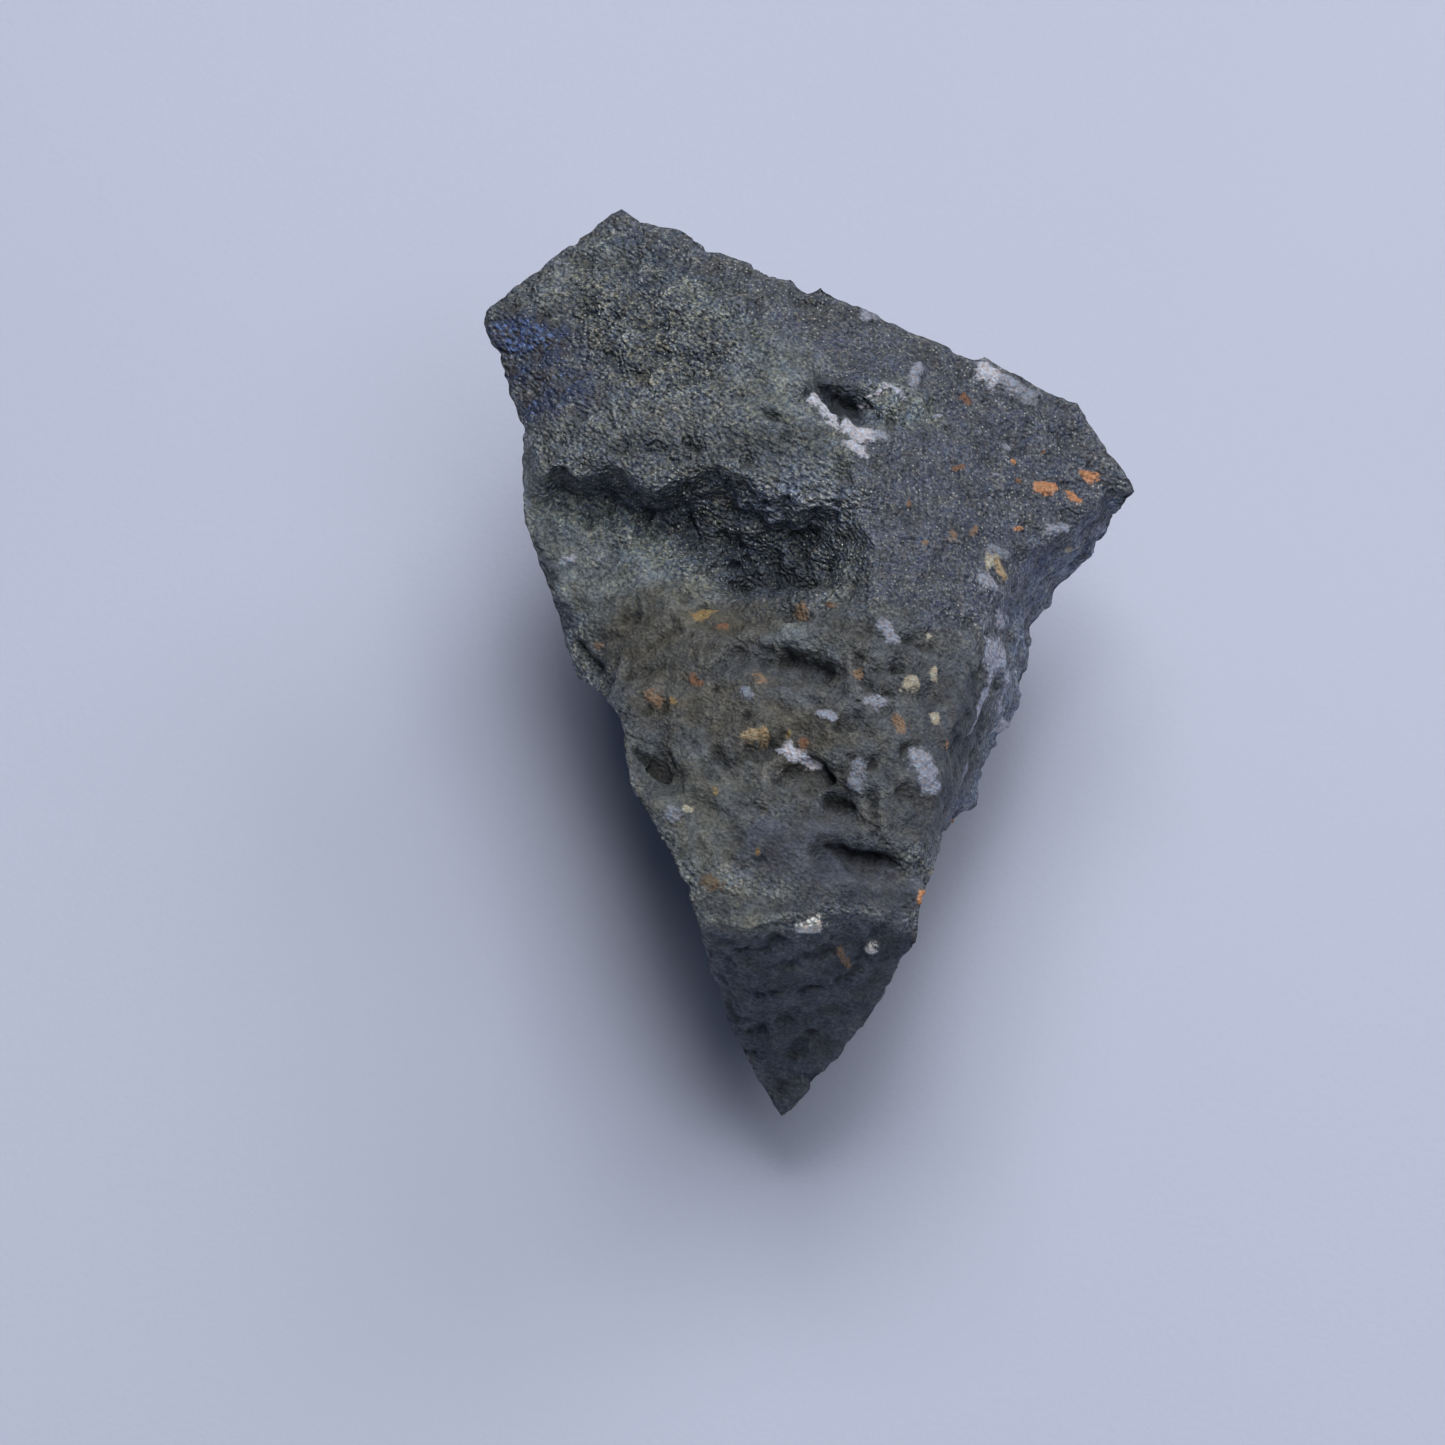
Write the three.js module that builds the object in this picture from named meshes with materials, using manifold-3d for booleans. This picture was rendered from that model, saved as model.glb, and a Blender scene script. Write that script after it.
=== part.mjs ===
// Arsenopyrite specimen: one broken piece of fine-grained ore that rests on a small flat spot.
// Millimetres, +Z up. The long way of the stone runs along Y, from the pointed near end to the wide far end.
import * as THREE from 'three';
import { TessellateModifier } from 'three/addons/modifiers/TessellateModifier.js';
import { ImprovedNoise } from 'three/addons/math/ImprovedNoise.js';
import { mergeGeometries, mergeVertices } from 'three/addons/utils/BufferGeometryUtils.js';
import Module from 'manifold-3d';

// The stone is two shells, upper and under, that meet at one rim. Seen along the parting axis, which leans
// back from the vertical, neither shell hides any of itself, so each is triangulated in the plane across it.
const PARTING_ELEVATION = THREE.MathUtils.degToRad(60);
const PARTING_AXIS = new THREE.Vector3(0, -Math.cos(PARTING_ELEVATION), Math.sin(PARTING_ELEVATION));
const ACROSS_PARTING = new THREE.Vector3(0, Math.sin(PARTING_ELEVATION), Math.cos(PARTING_ELEVATION));

const RIM_STEP = 0.9;            // longest piece of the rim
const CHORD_BULGE = 0.25;        // of each shell at a corner that holds no landmark
const TESSELLATE_ROUNDS = 30;    // more than enough to bring every triangle side under its limit
const MERGE_DISTANCE = 1e-3;
const GROUND_DEPTH = 5;          // of the block that cuts the resting spot flat
const GROUND_WIDTH = 80;

// Landmarks are [x, y, z], read one by one off the stone: x to the right, y away, z above the ground.

// The rim, clockwise from above, starting at the far left corner.
const FAR_EDGE = [
  [-7.8, 18.3, 16.6], [-7, 17.4, 16.9], [-5.2, 16.8, 17.1], [-4.2, 15.9, 17.2], [-2.9, 15.4, 17],
  [-0.9, 14.8, 16.6], [-0.3, 14.3, 16.4], [0.5, 14.5, 16.4], [3, 13.3, 15.9], [5, 12.4, 15.6],
  [7.1, 11.7, 15.2], [8.4, 11.2, 15], [10.3, 10.3, 14.5],
];
const LOBE_EDGE = [
  [11.2, 10.1, 14.3], [11.7, 9.3, 14], [13.3, 6.8, 13.5], [13.6, 6.4, 13.2], [12.6, 5.9, 11.8],
  [12.5, 5.6, 11.2], [11.4, 4.7, 10], [10.3, 4, 9.2], [10.1, 3.4, 9],
];
const RIGHT_FOOT = [
  [9.3, 2.6, 8.5], [9.2, 1.5, 8.2], [8.7, -0.9, 7.6], [8.1, -1.6, 7.3], [7.2, -3, 6.5],
  [7.1, -4.1, 6.1], [6.7, -4.7, 5.9], [5.9, -5.3, 6.2],
];
const NEAR_RIGHT_EDGE = [
  [5.5, -6.9, 8], [5.3, -9.2, 11], [5.1, -11.5, 13.8], [4.8, -13.3, 15.3], [4.4, -14.2, 15.6],
  [4.2, -15.6, 14.4], [3.7, -15.6, 13.4], [2.8, -16.3, 10.9], [2.3, -16.7, 9.8], [0.7, -17.4, 7.4],
  [0.4, -17.6, 6.6], [-0.5, -18.1, 5.2],
];
const TIP = [[-1.2, -18.3, 4.4]];
const NEAR_LEFT_EDGE = [
  [-1.7, -17.9, 5.2], [-2.8, -16.8, 7], [-3.9, -15.4, 10.2], [-4.3, -15.1, 12.6], [-4.5, -15.4, 15.3],
  [-5.2, -13.8, 16.2], [-6.3, -11.2, 16.1], [-7.3, -9.2, 16],
];
const TERRACE_EDGE = [
  [-7.8, -6.2, 15.9], [-8.1, -5.1, 15.4], [-8.5, -3.8, 13.8], [-9, -2.7, 12.6], [-9.5, -2, 12],
  [-9.9, -1.4, 12.3], [-10.4, 0.6, 13], [-11, 2.3, 13.3], [-11.5, 3.4, 13.6], [-11.8, 4.3, 13.8],
  [-11.9, 6.2, 14.6],
];
const LEFT_EDGE = [
  [-12, 8.3, 15.3], [-12.8, 10.7, 15.7], [-13.6, 12.7, 16.2], [-13.5, 13.3, 16.3], [-12, 14.8, 16.5],
  [-9.6, 16.8, 16.6],
];
const RIM = [
  ...FAR_EDGE, ...LOBE_EDGE, ...RIGHT_FOOT, ...NEAR_RIGHT_EDGE, ...TIP, ...NEAR_LEFT_EDGE,
  ...TERRACE_EDGE, ...LEFT_EDGE,
];

// The upper shell, feature by feature.
const GRANULAR_FACE = [
  [-11.6, 12.6, 16.7], [-9.1, 14.1, 17], [-6.6, 15.6, 17.1], [-10.3, 9.2, 16.6], [-7, 11.7, 17.4],
  [-4.5, 13, 17.6], [-8.6, 7.1, 16.9], [-4.9, 8.1, 17.7], [-2.7, 8.8, 18], [-2.9, 6.1, 17.8],
];
const CREST = [
  [-4.3, 15, 17.4], [-2.5, 12.4, 17.8], [-1, 9.9, 18.1], [-0.9, 6.8, 18], [0.2, 5.2, 18],
  [1.5, 5, 18.2], [2.9, 4.4, 17.8], [2.1, 3.5, 18.1], [2.6, 1, 17.9],
];
const QUARTZ_NOTCH = [
  [0.1, 9, 17.6], [1.6, 9, 17.2], [3.2, 9.2, 16.9], [1.2, 8.7, 16.2], [1.9, 8.6, 16],
  [2.6, 8.6, 16.3], [0, 7.9, 17.9], [1.3, 6.7, 17.9], [2, 6.6, 17.5], [3, 7.2, 17.2],
];
const LOBE_FACE = [
  [-0.4, 12.8, 16.8], [2.1, 11.3, 16.4], [5, 10, 15.8], [4, 5.9, 16.9], [5.8, 6.7, 16],
  [7.9, 8.8, 15], [4.1, 3.1, 17.2], [6.6, 4.1, 15.9], [9.5, 7, 14.4], [11.7, 7.5, 13.9],
  [10.3, 5.7, 14.3], [12.4, 6.5, 13.4], [4.8, 0, 17.2], [7, 2.3, 15.7], [6.5, -0.1, 16.3],
];
const RIGHT_BROW = [
  [11.8, 5.3, 13.6], [10.6, 3.9, 13.9], [9.2, 2.8, 14.4], [8.3, 1.8, 14.8], [7.8, 0.1, 15.2],
  [7.1, -2, 15.9], [6.4, -3.9, 16.3], [5.9, -5.7, 16.4], [5.4, -7.7, 16.2], [5, -9.4, 15.9],
  [4.6, -11.3, 15.7],
];
const RIGHT_WALL = [
  [11.5, 4.9, 12.2], [10.1, 3.6, 12.1], [9, 2.1, 12], [8.6, 0.2, 11.6], [8.2, -1.9, 11.2],
  [7.5, -3.4, 10.8], [6.7, -5.1, 10.3], [5.9, -6.6, 10.4],
];
const HOLLOW_FAR_RIM = [
  [-11, 5.6, 15.7], [-10.5, 5.8, 16.2], [-10, 5.7, 16.4], [-9.5, 5.1, 16.3], [-8.9, 5.4, 16.7],
  [-8.3, 5.5, 16.9], [-7.5, 5.1, 17], [-6.9, 4.5, 17], [-6.4, 4.2, 17], [-5.8, 4.4, 17.1],
  [-5.3, 4.7, 17.3], [-4.5, 5, 17.5], [-3.5, 4.8, 17.7], [-2.7, 4.4, 17.7], [-2.1, 4, 17.7],
  [-1.7, 3.5, 17.5], [-0.4, 3.4, 17.6], [1.1, 3.3, 17.6], [1.8, 2.4, 17.7],
];
const HOLLOW_FLOOR = [
  [-10.2, 5.8, 14.4], [-9.3, 5.6, 14.2], [-8.2, 5.4, 14.2], [-7, 4.8, 14.2], [-5.8, 4.5, 15],
  [-4.5, 4.4, 15.8], [-3.1, 4.1, 15.9], [-1.4, 3.3, 15.7], [0.4, 3.1, 15.9], [1.4, 2.1, 16.4],
  [-4.9, 3.6, 14.3], [-3.3, 3, 14.6], [-1.2, 2.5, 14.2], [0.5, 1.9, 15.2], [-2.7, 1.4, 13.5],
  [-0.8, 1.3, 14], [0.6, 0.9, 15.2],
];
const HOLLOW_NEAR_RIM = [
  [-6.6, 4, 14.4], [-5.3, 2.7, 14.6], [-4.4, 1.6, 14.8], [-3.6, 0.2, 15], [-2.7, -0.6, 15.6],
  [-0.8, -0.8, 16.3], [0.9, -0.6, 16.9],
];
const LOW_TERRACE = [
  [-10.9, 5.2, 14.1], [-9.3, 4.4, 14.2], [-7.6, 3.3, 14.4], [-10.3, 3.1, 13.6], [-8.6, 1.9, 13.9],
  [-6.6, 1.5, 14.7], [-4.9, -0.1, 15.3], [-9.5, 0.3, 13.4], [-7.6, -1, 14.4], [-9.2, -1.3, 13],
  [-8.2, -2.3, 13.6], [-6.8, -2.9, 15.2],
];
const HIGH_PLATEAU = [
  [-5.3, -1.9, 15.9], [-2.9, -2.9, 16.9], [-0.5, -3.3, 17.5], [2.4, -2.2, 18], [4.6, -2.6, 17.5],
  [-7.3, -4.5, 15.6], [-4.9, -5.6, 16.6], [-2.3, -5.9, 17.2], [0.7, -6.2, 17.6], [3.6, -5.6, 17.5],
  [-6.3, -7.5, 16.3], [-4.5, -8.9, 16.7], [-1.7, -9.1, 17], [1.1, -8.8, 17.4], [3.5, -8.7, 17.2],
  [-5.9, -10.8, 16.4], [-3.3, -11.7, 16.7], [-0.5, -11.8, 16.9], [2.7, -11.7, 16.8], [-4.5, -13.7, 16.3],
  [-1.7, -14, 16.4], [1.1, -13.7, 16.2], [3.4, -13.7, 15.9],
];
const NEAR_BROW = [
  [-3.9, -15.3, 15.8], [-2.7, -15.8, 15.9], [-1.5, -15.5, 16.1], [-0.5, -15.2, 16.1], [1.2, -15, 15.9],
  [2.6, -15.1, 15.7],
];
const NEAR_FACET = [
  [-3.1, -16, 13.8], [-1.9, -16.3, 11.8], [-0.1, -15.9, 14.1], [0.5, -16.3, 11.8], [2.4, -15.8, 12.8],
  [-1.2, -16.7, 8.7], [0.5, -16.7, 9.4], [-0.8, -17.4, 6.3],
];
const UPPER = [
  ...GRANULAR_FACE, ...CREST, ...QUARTZ_NOTCH, ...LOBE_FACE, ...RIGHT_BROW, ...RIGHT_WALL,
  ...HOLLOW_FAR_RIM, ...HOLLOW_FLOOR, ...HOLLOW_NEAR_RIM, ...LOW_TERRACE, ...HIGH_PLATEAU,
  ...NEAR_BROW, ...NEAR_FACET,
];

// The under shell: broken walls that drop steeply from the rim and lean in to the resting spot.
const FAR_LEFT_WALL = [
  [-12.6, 13.2, 12], [-8.2, 17.4, 12.4], [-11.4, 12, 7.6], [-8.6, 16.2, 7.4], [-9.6, 10.6, 2.8],
  [-7.2, 13.4, 3], [-10.6, 14.4, 9.8],
];
const FAR_WALL = [
  [-3.6, 15.4, 12.6], [1.4, 13.4, 12.4], [6.4, 11.8, 11.4], [10.2, 10, 10.6], [-1, 15, 9.8],
  [4, 13.2, 9.4], [-1.2, 13.8, 8.8], [4, 12, 8.4], [-4.4, 14.8, 6.8], [1.8, 12.4, 5.4], [7, 10.8, 6.4],
  [-3.6, 12.2, 2.6], [2.2, 10.2, 2.4], [5.4, 7.6, 2.6], [8.6, 8.6, 8.2],
];
const LEFT_WALL = [
  [-11.5, 10.6, 11.6], [-11.3, 9, 7.4], [-9.8, 8.4, 3], [-10.7, 5.2, 9.2], [-9.6, 3.2, 5.6],
  [-8.2, 4, 1.6], [-9.1, 0.5, 8.6], [-7.1, -0.6, 5], [-7.2, -2.2, 8.6], [-6.4, -2.8, 3.8],
  [-6.9, -5.2, 10.4], [-5.3, -6.2, 5.6], [-5.7, -8.4, 10.6], [-4.2, -9.8, 6.8], [-4.1, -12, 10.8],
  [-3.4, -12.6, 7], [-4.4, -5.8, 3.2],
];
const RIGHT_UNDERCUT = [
  [12, 7.2, 10.8], [10.7, 5.4, 8.8], [10, 7, 6.6], [8, 0.2, 5.8], [7.6, 2.6, 3.8], [6.3, -3.2, 4.4],
  [5.2, -2.4, 1.6], [4.8, -8.2, 8.2], [4.4, -6.6, 4.4], [4.1, -11, 10.6], [3.3, -12, 7.4],
  [3.1, -14, 10.2], [2.2, -14.2, 7],
];
const NEAR_UNDERCUT = [
  [0.6, -15.2, 5], [-2.1, -15, 5], [-0.8, -15.9, 3.6], [-0.5, -11.2, 2], [2.4, -9.8, 2.2], [-2.6, -10, 2.2],
];
const RESTING_SPOT = [
  [-3.8, -6.6, -0.7], [1.4, -7.6, -0.7], [4, -3.1, -0.7], [3.2, 4.1, -0.7], [-2.1, 6.9, -0.7],
  [-7, 3.4, -0.7], [-5.5, -2.1, -0.7], [-1.1, -0.1, -1], [-0.6, -4.5, -1], [-2.8, 3.3, -1],
];
const UNDER = [
  ...FAR_LEFT_WALL, ...FAR_WALL, ...LEFT_WALL, ...RIGHT_UNDERCUT, ...NEAR_UNDERCUT, ...RESTING_SPOT,
];

// Pits and cracks in the upper shell, each a groove between two points.
const DENTS = [
  { from: [-1.3, -4.2, 17.2], to: [0.7, -4.8, 17.5], radius: 1, depth: 1 },
  { from: [-2.8, -3.9, 16.9], to: [-2, -3.7, 17], radius: 0.8, depth: 0.5 },
  { from: [-0.7, -9, 17.1], to: [0.8, -10.3, 17.1], radius: 0.9, depth: 0.8 },
  { from: [0.3, -10.9, 16.9], to: [1.5, -11.1, 16.8], radius: 0.8, depth: 0.7 },
  { from: [0.5, -12.7, 16.5], to: [3.5, -13.3, 16.2], radius: 0.8, depth: 0.9 },
  { from: [-6.9, -7.6, 16.2], to: [-5.9, -9.1, 16.5], radius: 0.8, depth: 0.8 },
];

// How each shell is finished: its longest triangle side, and the waves that roughen it. They fade out over
// the last stretch before the rim.
const UPPER_FINISH = { side: 1.1, waves: [{ length: 4, height: 0.16 }, { length: 1.8, height: 0.16 }] };
const UNDER_FINISH = { side: 2, waves: [{ length: 5.2, height: 0.3 }, { length: 2.6, height: 0.2 }] };
const FADE_WIDTH = 1.5;
const EVEN_OUT_ROUNDS = 3;       // of the under shell, so the rim's notches end a little way down the walls

// The under shell also parted along flat chips. A chip is the place nearest to one scattered centre, and
// tilts its own way. All of this roughness lies inside the walls, so that none stands out past the rim.
const CHIP_SEED = 11;
const CHIP_COUNT = 150;
const CHIP_TILT = 0.2;
const CHIP_INSET = 0.2;

const toVectors = (landmarks) => landmarks.map((p) => new THREE.Vector3(...p));

// Splits each stretch of a closed line into equal pieces no longer than step.
function splitLoop(loop, step) {
  return loop.flatMap((start, i) => {
    const end = loop[(i + 1) % loop.length];
    const pieces = Math.ceil(start.distanceTo(end) / step);
    return Array.from({ length: pieces }, (_, k) => start.clone().lerp(end, k / pieces));
  });
}

// Across the parting axis: x stays, and the other coordinate runs up the tilted plane.
function acrossParting(point) {
  return new THREE.Vector2(point.x, point.dot(ACROSS_PARTING));
}

function circleHolds(a, b, c, p) {
  const rows = [a, b, c].map((q) => [q.x - p.x, q.y - p.y, (q.x - p.x) ** 2 + (q.y - p.y) ** 2]);
  return new THREE.Matrix3().set(...rows.flat()).determinant() > 0;
}

// Delaunay triangles, counterclockwise: each new point replaces the triangles whose circles hold it.
function delaunay(points) {
  const far = 1000;
  const frame = [new THREE.Vector2(-far, -far), new THREE.Vector2(far, -far), new THREE.Vector2(0, far)];
  const all = [...points, ...frame];
  const count = points.length;
  let triangles = [[count, count + 1, count + 2]];
  points.forEach((point, index) => {
    const opened = new Set(triangles.filter((t) => circleHolds(...t.map((i) => all[i]), point)));
    const sides = [...opened].flatMap(([a, b, c]) => [[a, b], [b, c], [c, a]]);
    const border = sides.filter(([a, b]) => !sides.some(([p, q]) => p === b && q === a));
    triangles = triangles.filter((t) => !opened.has(t));
    triangles.push(...border.map(([a, b]) => [a, b, index]));
  });
  return triangles.filter((t) => t.every((i) => i < count));
}

function insideLoop(loop, p) {
  return loop.reduce((inside, a, i) => {
    const b = loop[(i + 1) % loop.length];
    const crosses = (a.y > p.y) !== (b.y > p.y) && p.x < a.x + ((p.y - a.y) * (b.x - a.x)) / (b.y - a.y);
    return crosses ? !inside : inside;
  }, false);
}

function middleOf(points) {
  const sum = points.reduce((total, point) => total.add(point), points[0].clone().setScalar(0));
  return sum.divideScalar(points.length);
}

// The triangles inside the rim, whose points come first.
function triangulate(points, rimCount) {
  const flat = points.map(acrossParting);
  const flatRim = flat.slice(0, rimCount);
  return delaunay(flat).filter((t) => insideLoop(flatRim, middleOf(t.map((i) => flat[i]))));
}

// The triangle sides that join two rim points which aren't neighbours on the rim.
function findChords(triangles, rimCount) {
  const sides = triangles.flatMap(([a, b, c]) => [[a, b], [b, c], [c, a]]);
  return sides.filter(([a, b]) => a < b && b < rimCount && b - a > 1 && b - a < rimCount - 1);
}

// One shell, from the rim and the landmarks inside it. The upper shell faces up the parting axis. A chord
// would lie in both shells, so each shell bulges out a little at its middle.
function makeShell(rim, landmarks, facesUp, side) {
  const bulge = PARTING_AXIS.clone().multiplyScalar(facesUp ? CHORD_BULGE : -CHORD_BULGE);
  const chords = findChords(triangulate([...rim, ...landmarks], rim.length), rim.length);
  const middles = chords.map(([a, b]) => middleOf([rim[a], rim[b]]).add(bulge));
  const points = [...rim, ...landmarks, ...middles];
  const corners = triangulate(points, rim.length)
    .flatMap((t) => (facesUp ? t : t.reverse()))
    .map((i) => points[i]);
  const shell = new THREE.BufferGeometry().setFromPoints(corners);
  return mergeVertices(new TessellateModifier(side, TESSELLATE_ROUNDS).modify(shell), MERGE_DISTANCE);
}

// Evens out a shell: each vertex off the rim moves to the middle of its neighbours. Around a vertex on the
// rim there is one neighbour more than there are triangles.
function evenOut(shell) {
  const position = shell.getAttribute('position');
  const index = shell.getIndex().array;
  const neighbours = Array.from({ length: position.count }, () => new Set());
  const triangles = new Array(position.count).fill(0);
  index.forEach((vertex, i) => {
    const next = index[i - (i % 3) + ((i + 1) % 3)];
    neighbours[vertex].add(next);
    neighbours[next].add(vertex);
    triangles[vertex] += 1;
  });
  for (let round = 0; round < EVEN_OUT_ROUNDS; round += 1) {
    const before = neighbours.map((_, i) => new THREE.Vector3().fromBufferAttribute(position, i));
    neighbours.forEach((around, i) => {
      if (around.size > triangles[i]) return;
      const middle = [...around].reduce((sum, j) => sum.add(before[j]), new THREE.Vector3());
      middle.divideScalar(around.size);
      position.setXYZ(i, middle.x, middle.y, middle.z);
    });
  }
}

// Folded noise has sharp creases where it crosses zero, as broken rock has.
function foldedNoise(point, { length, height }) {
  const noise = new ImprovedNoise();
  return height * (0.5 - 2 * Math.abs(noise.noise(point.x / length, point.y / length, point.z / length)));
}

const waveHeight = (point, waves) => waves.reduce((sum, wave) => sum + foldedNoise(point, wave), 0);

function distanceToSegment(point, from, to) {
  return new THREE.Line3(from, to).closestPointToPoint(point, true, new THREE.Vector3()).distanceTo(point);
}

function dentDepth(point) {
  return DENTS.reduce((deepest, { from, to, radius, depth }) => {
    const share = distanceToSegment(point, new THREE.Vector3(...from), new THREE.Vector3(...to)) / radius;
    return Math.max(deepest, depth * (1 - share * share));
  }, 0);
}

function scatterChips(box) {
  const { seededRandom, lerp } = THREE.MathUtils;
  seededRandom(CHIP_SEED);
  return Array.from({ length: CHIP_COUNT }, () => {
    const [x, y, z] = ['x', 'y', 'z'].map((axis) => lerp(box.min[axis], box.max[axis], seededRandom()));
    const tilt = new THREE.Vector3(seededRandom() - 0.5, seededRandom() - 0.5, seededRandom() - 0.5);
    return { centre: new THREE.Vector3(x, y, z), tilt: tilt.setLength(CHIP_TILT) };
  });
}

function chipHeight(point, chips) {
  const squares = chips.map((chip) => chip.centre.distanceToSquared(point));
  const { centre, tilt } = chips[squares.indexOf(Math.min(...squares))];
  return tilt.dot(point.clone().sub(centre));
}

// Moves each vertex along its normal by heightAt, less so the nearer it is to the rim.
function addRelief(shell, rim, heightAt) {
  shell.computeVertexNormals();
  const position = shell.getAttribute('position');
  const normal = new THREE.Vector3();
  const point = new THREE.Vector3();
  for (let i = 0; i < position.count; i += 1) {
    point.fromBufferAttribute(position, i);
    normal.fromBufferAttribute(shell.getAttribute('normal'), i);
    const toRim = rim.map((start, k) => distanceToSegment(point, start, rim[(k + 1) % rim.length]));
    const share = Math.min(Math.min(...toRim) / FADE_WIDTH, 1);
    point.addScaledVector(normal, share * heightAt(point));
    position.setXYZ(i, point.x, point.y, point.z);
  }
  shell.deleteAttribute('normal');
}

function makeUpperShell(rim) {
  const { side, waves } = UPPER_FINISH;
  const shell = makeShell(rim, toVectors(UPPER), true, side);
  addRelief(shell, rim, (point) => waveHeight(point, waves) - dentDepth(point));
  return shell;
}

function makeUnderShell(rim) {
  const { side, waves } = UNDER_FINISH;
  const shell = makeShell(rim, toVectors(UNDER), false, side);
  evenOut(shell);
  const chips = scatterChips(new THREE.Box3().setFromPoints([...rim, ...toVectors(UNDER)]));
  const roughness = (point) => waveHeight(point, waves) + chipHeight(point, chips) - CHIP_INSET;
  addRelief(shell, rim, (point) => Math.min(roughness(point), 0));
  return shell;
}

// Cuts away what lies below the ground, which leaves the flat resting spot.
async function cutFlat(stone) {
  const wasm = await Module();
  wasm.setup();
  const toSolid = (source) => new wasm.Manifold(new wasm.Mesh({
    numProp: 3,
    vertProperties: new Float32Array(source.getAttribute('position').array),
    triVerts: new Uint32Array(source.getIndex().array),
  }));
  const block = new THREE.BoxGeometry(GROUND_WIDTH, GROUND_WIDTH, GROUND_DEPTH);
  block.translate(0, 0, -GROUND_DEPTH / 2);
  block.deleteAttribute('normal');
  block.deleteAttribute('uv');
  const cut = toSolid(stone).subtract(toSolid(mergeVertices(block))).getMesh();
  const result = new THREE.BufferGeometry();
  result.setAttribute('position', new THREE.Float32BufferAttribute(cut.vertProperties, 3));
  result.setIndex(Array.from(cut.triVerts));
  return result;
}

function centreOnGround(stone) {
  stone.computeBoundingBox();
  const centre = stone.boundingBox.getCenter(new THREE.Vector3());
  stone.translate(-centre.x, -centre.y, 0);
}

async function makeSpecimen() {
  const rim = splitLoop(toVectors(RIM), RIM_STEP);
  const shells = mergeGeometries([makeUpperShell(rim), makeUnderShell(rim)]);
  const stone = await cutFlat(mergeVertices(shells, MERGE_DISTANCE));
  centreOnGround(stone);
  stone.computeVertexNormals();
  const ore = new THREE.MeshStandardMaterial({ color: 0x4b5054, roughness: 0.5, metalness: 0.45 });
  const mesh = new THREE.Mesh(stone, ore);
  mesh.name = 'specimen';
  return mesh;
}

const group = new THREE.Group();
group.add(await makeSpecimen());

export default group;
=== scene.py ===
# Arsenopyrite specimen: one broken piece of fine-grained ore on a pale floor, lit softly from behind.
import math

import bpy
import numpy as np
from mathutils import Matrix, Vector, noise


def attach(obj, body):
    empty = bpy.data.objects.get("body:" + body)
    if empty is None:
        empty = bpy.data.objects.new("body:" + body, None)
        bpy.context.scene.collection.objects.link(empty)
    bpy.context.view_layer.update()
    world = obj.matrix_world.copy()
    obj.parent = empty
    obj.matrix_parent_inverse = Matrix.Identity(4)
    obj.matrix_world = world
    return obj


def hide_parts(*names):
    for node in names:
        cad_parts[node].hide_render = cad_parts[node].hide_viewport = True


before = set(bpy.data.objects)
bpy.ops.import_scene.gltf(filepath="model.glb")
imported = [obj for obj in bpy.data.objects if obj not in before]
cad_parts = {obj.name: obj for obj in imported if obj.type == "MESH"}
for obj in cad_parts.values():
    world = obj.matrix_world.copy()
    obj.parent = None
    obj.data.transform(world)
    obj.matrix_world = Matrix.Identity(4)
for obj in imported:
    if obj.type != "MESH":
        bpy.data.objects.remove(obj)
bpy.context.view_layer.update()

MM = 0.001
TINY_LENGTH = 1e-12     # these stand in for a length, and for a squared length, of zero
TINY_SQUARE = 1e-9

# The stone's upper and under shells meet at one rim. The axis between them leans back from the vertical.
# Places on the upper shell are given across it, in millimetres: x, and the height up the tilted plane.
PARTING_ELEVATION = math.radians(60)
PARTING_AXIS = np.array([0, -math.cos(PARTING_ELEVATION), math.sin(PARTING_ELEVATION)])
ACROSS_PARTING = np.array([0, math.sin(PARTING_ELEVATION), math.cos(PARTING_ELEVATION)])

# Outlines of the areas that differ in colour and grain, some of them painted shade or light, then those of
# the tarnish.
LOBE = [
    (-5, 22.7), (-2.1, 18.8), (0, 17.3), (1.6, 14.1), (2, 10.8), (2.4, 7.5), (6, 5.5), (7.8, 6.8),
    (14.5, 10.9), (14.6, 16), (6.4, 21.6), (-2, 24.6),
]
FAR_STRIP = [
    (-4.5, 23.1), (-2, 21.9), (0.9, 20.9), (6.3, 18.3), (7.1, 17.1), (3.8, 18.2), (-0.4, 19.6),
    (-3.7, 20.5),
]
CREST = [(-2.7, 18.1), (-0.4, 17.9), (0, 15.4), (1.6, 13.3), (-1.7, 12.9), (-2.9, 15.8)]
NOTCH = [(-0.3, 16.6), (1.7, 16.1), (2.4, 15.8), (2.4, 15), (1.8, 14.7), (1.1, 15)]
HOLLOW = [
    (-10.8, 13.3), (-8.6, 12.9), (-7, 12), (-5.5, 12.9), (-2.9, 13.2), (-1.5, 12.3), (0.2, 11.7),
    (2.1, 10.8), (1.9, 9.2), (0.2, 7.5), (-2.9, 7.4), (-4.5, 9.2), (-7, 11.3), (-8.9, 12.2),
    (-10.5, 12.7),
]
TERRACE = [
    (-12.2, 13), (-10.3, 12.7), (-8.7, 12.2), (-7, 11.3), (-4.9, 9.2), (-3.9, 7.9), (-4.5, 6.5),
    (-7, 5.5), (-9.2, 6), (-10.9, 7.6), (-12.2, 10.1),
]
PLATEAU = [
    (-9, 7.6), (-4.5, 7.2), (1.6, 7.3), (6, 5.9), (7.1, 3.5), (5.6, -1.8), (1.1, -2.6), (-2.1, -0.5),
    (-6.5, -0.6), (-7.8, 3.5),
]
STAIN_FAR = [(-7.8, 7.6), (-4.5, 8.2), (-1.3, 7.6), (-2.1, 5.9), (-4.5, 5.5), (-7, 4.3), (-8.6, 5.5)]
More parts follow.
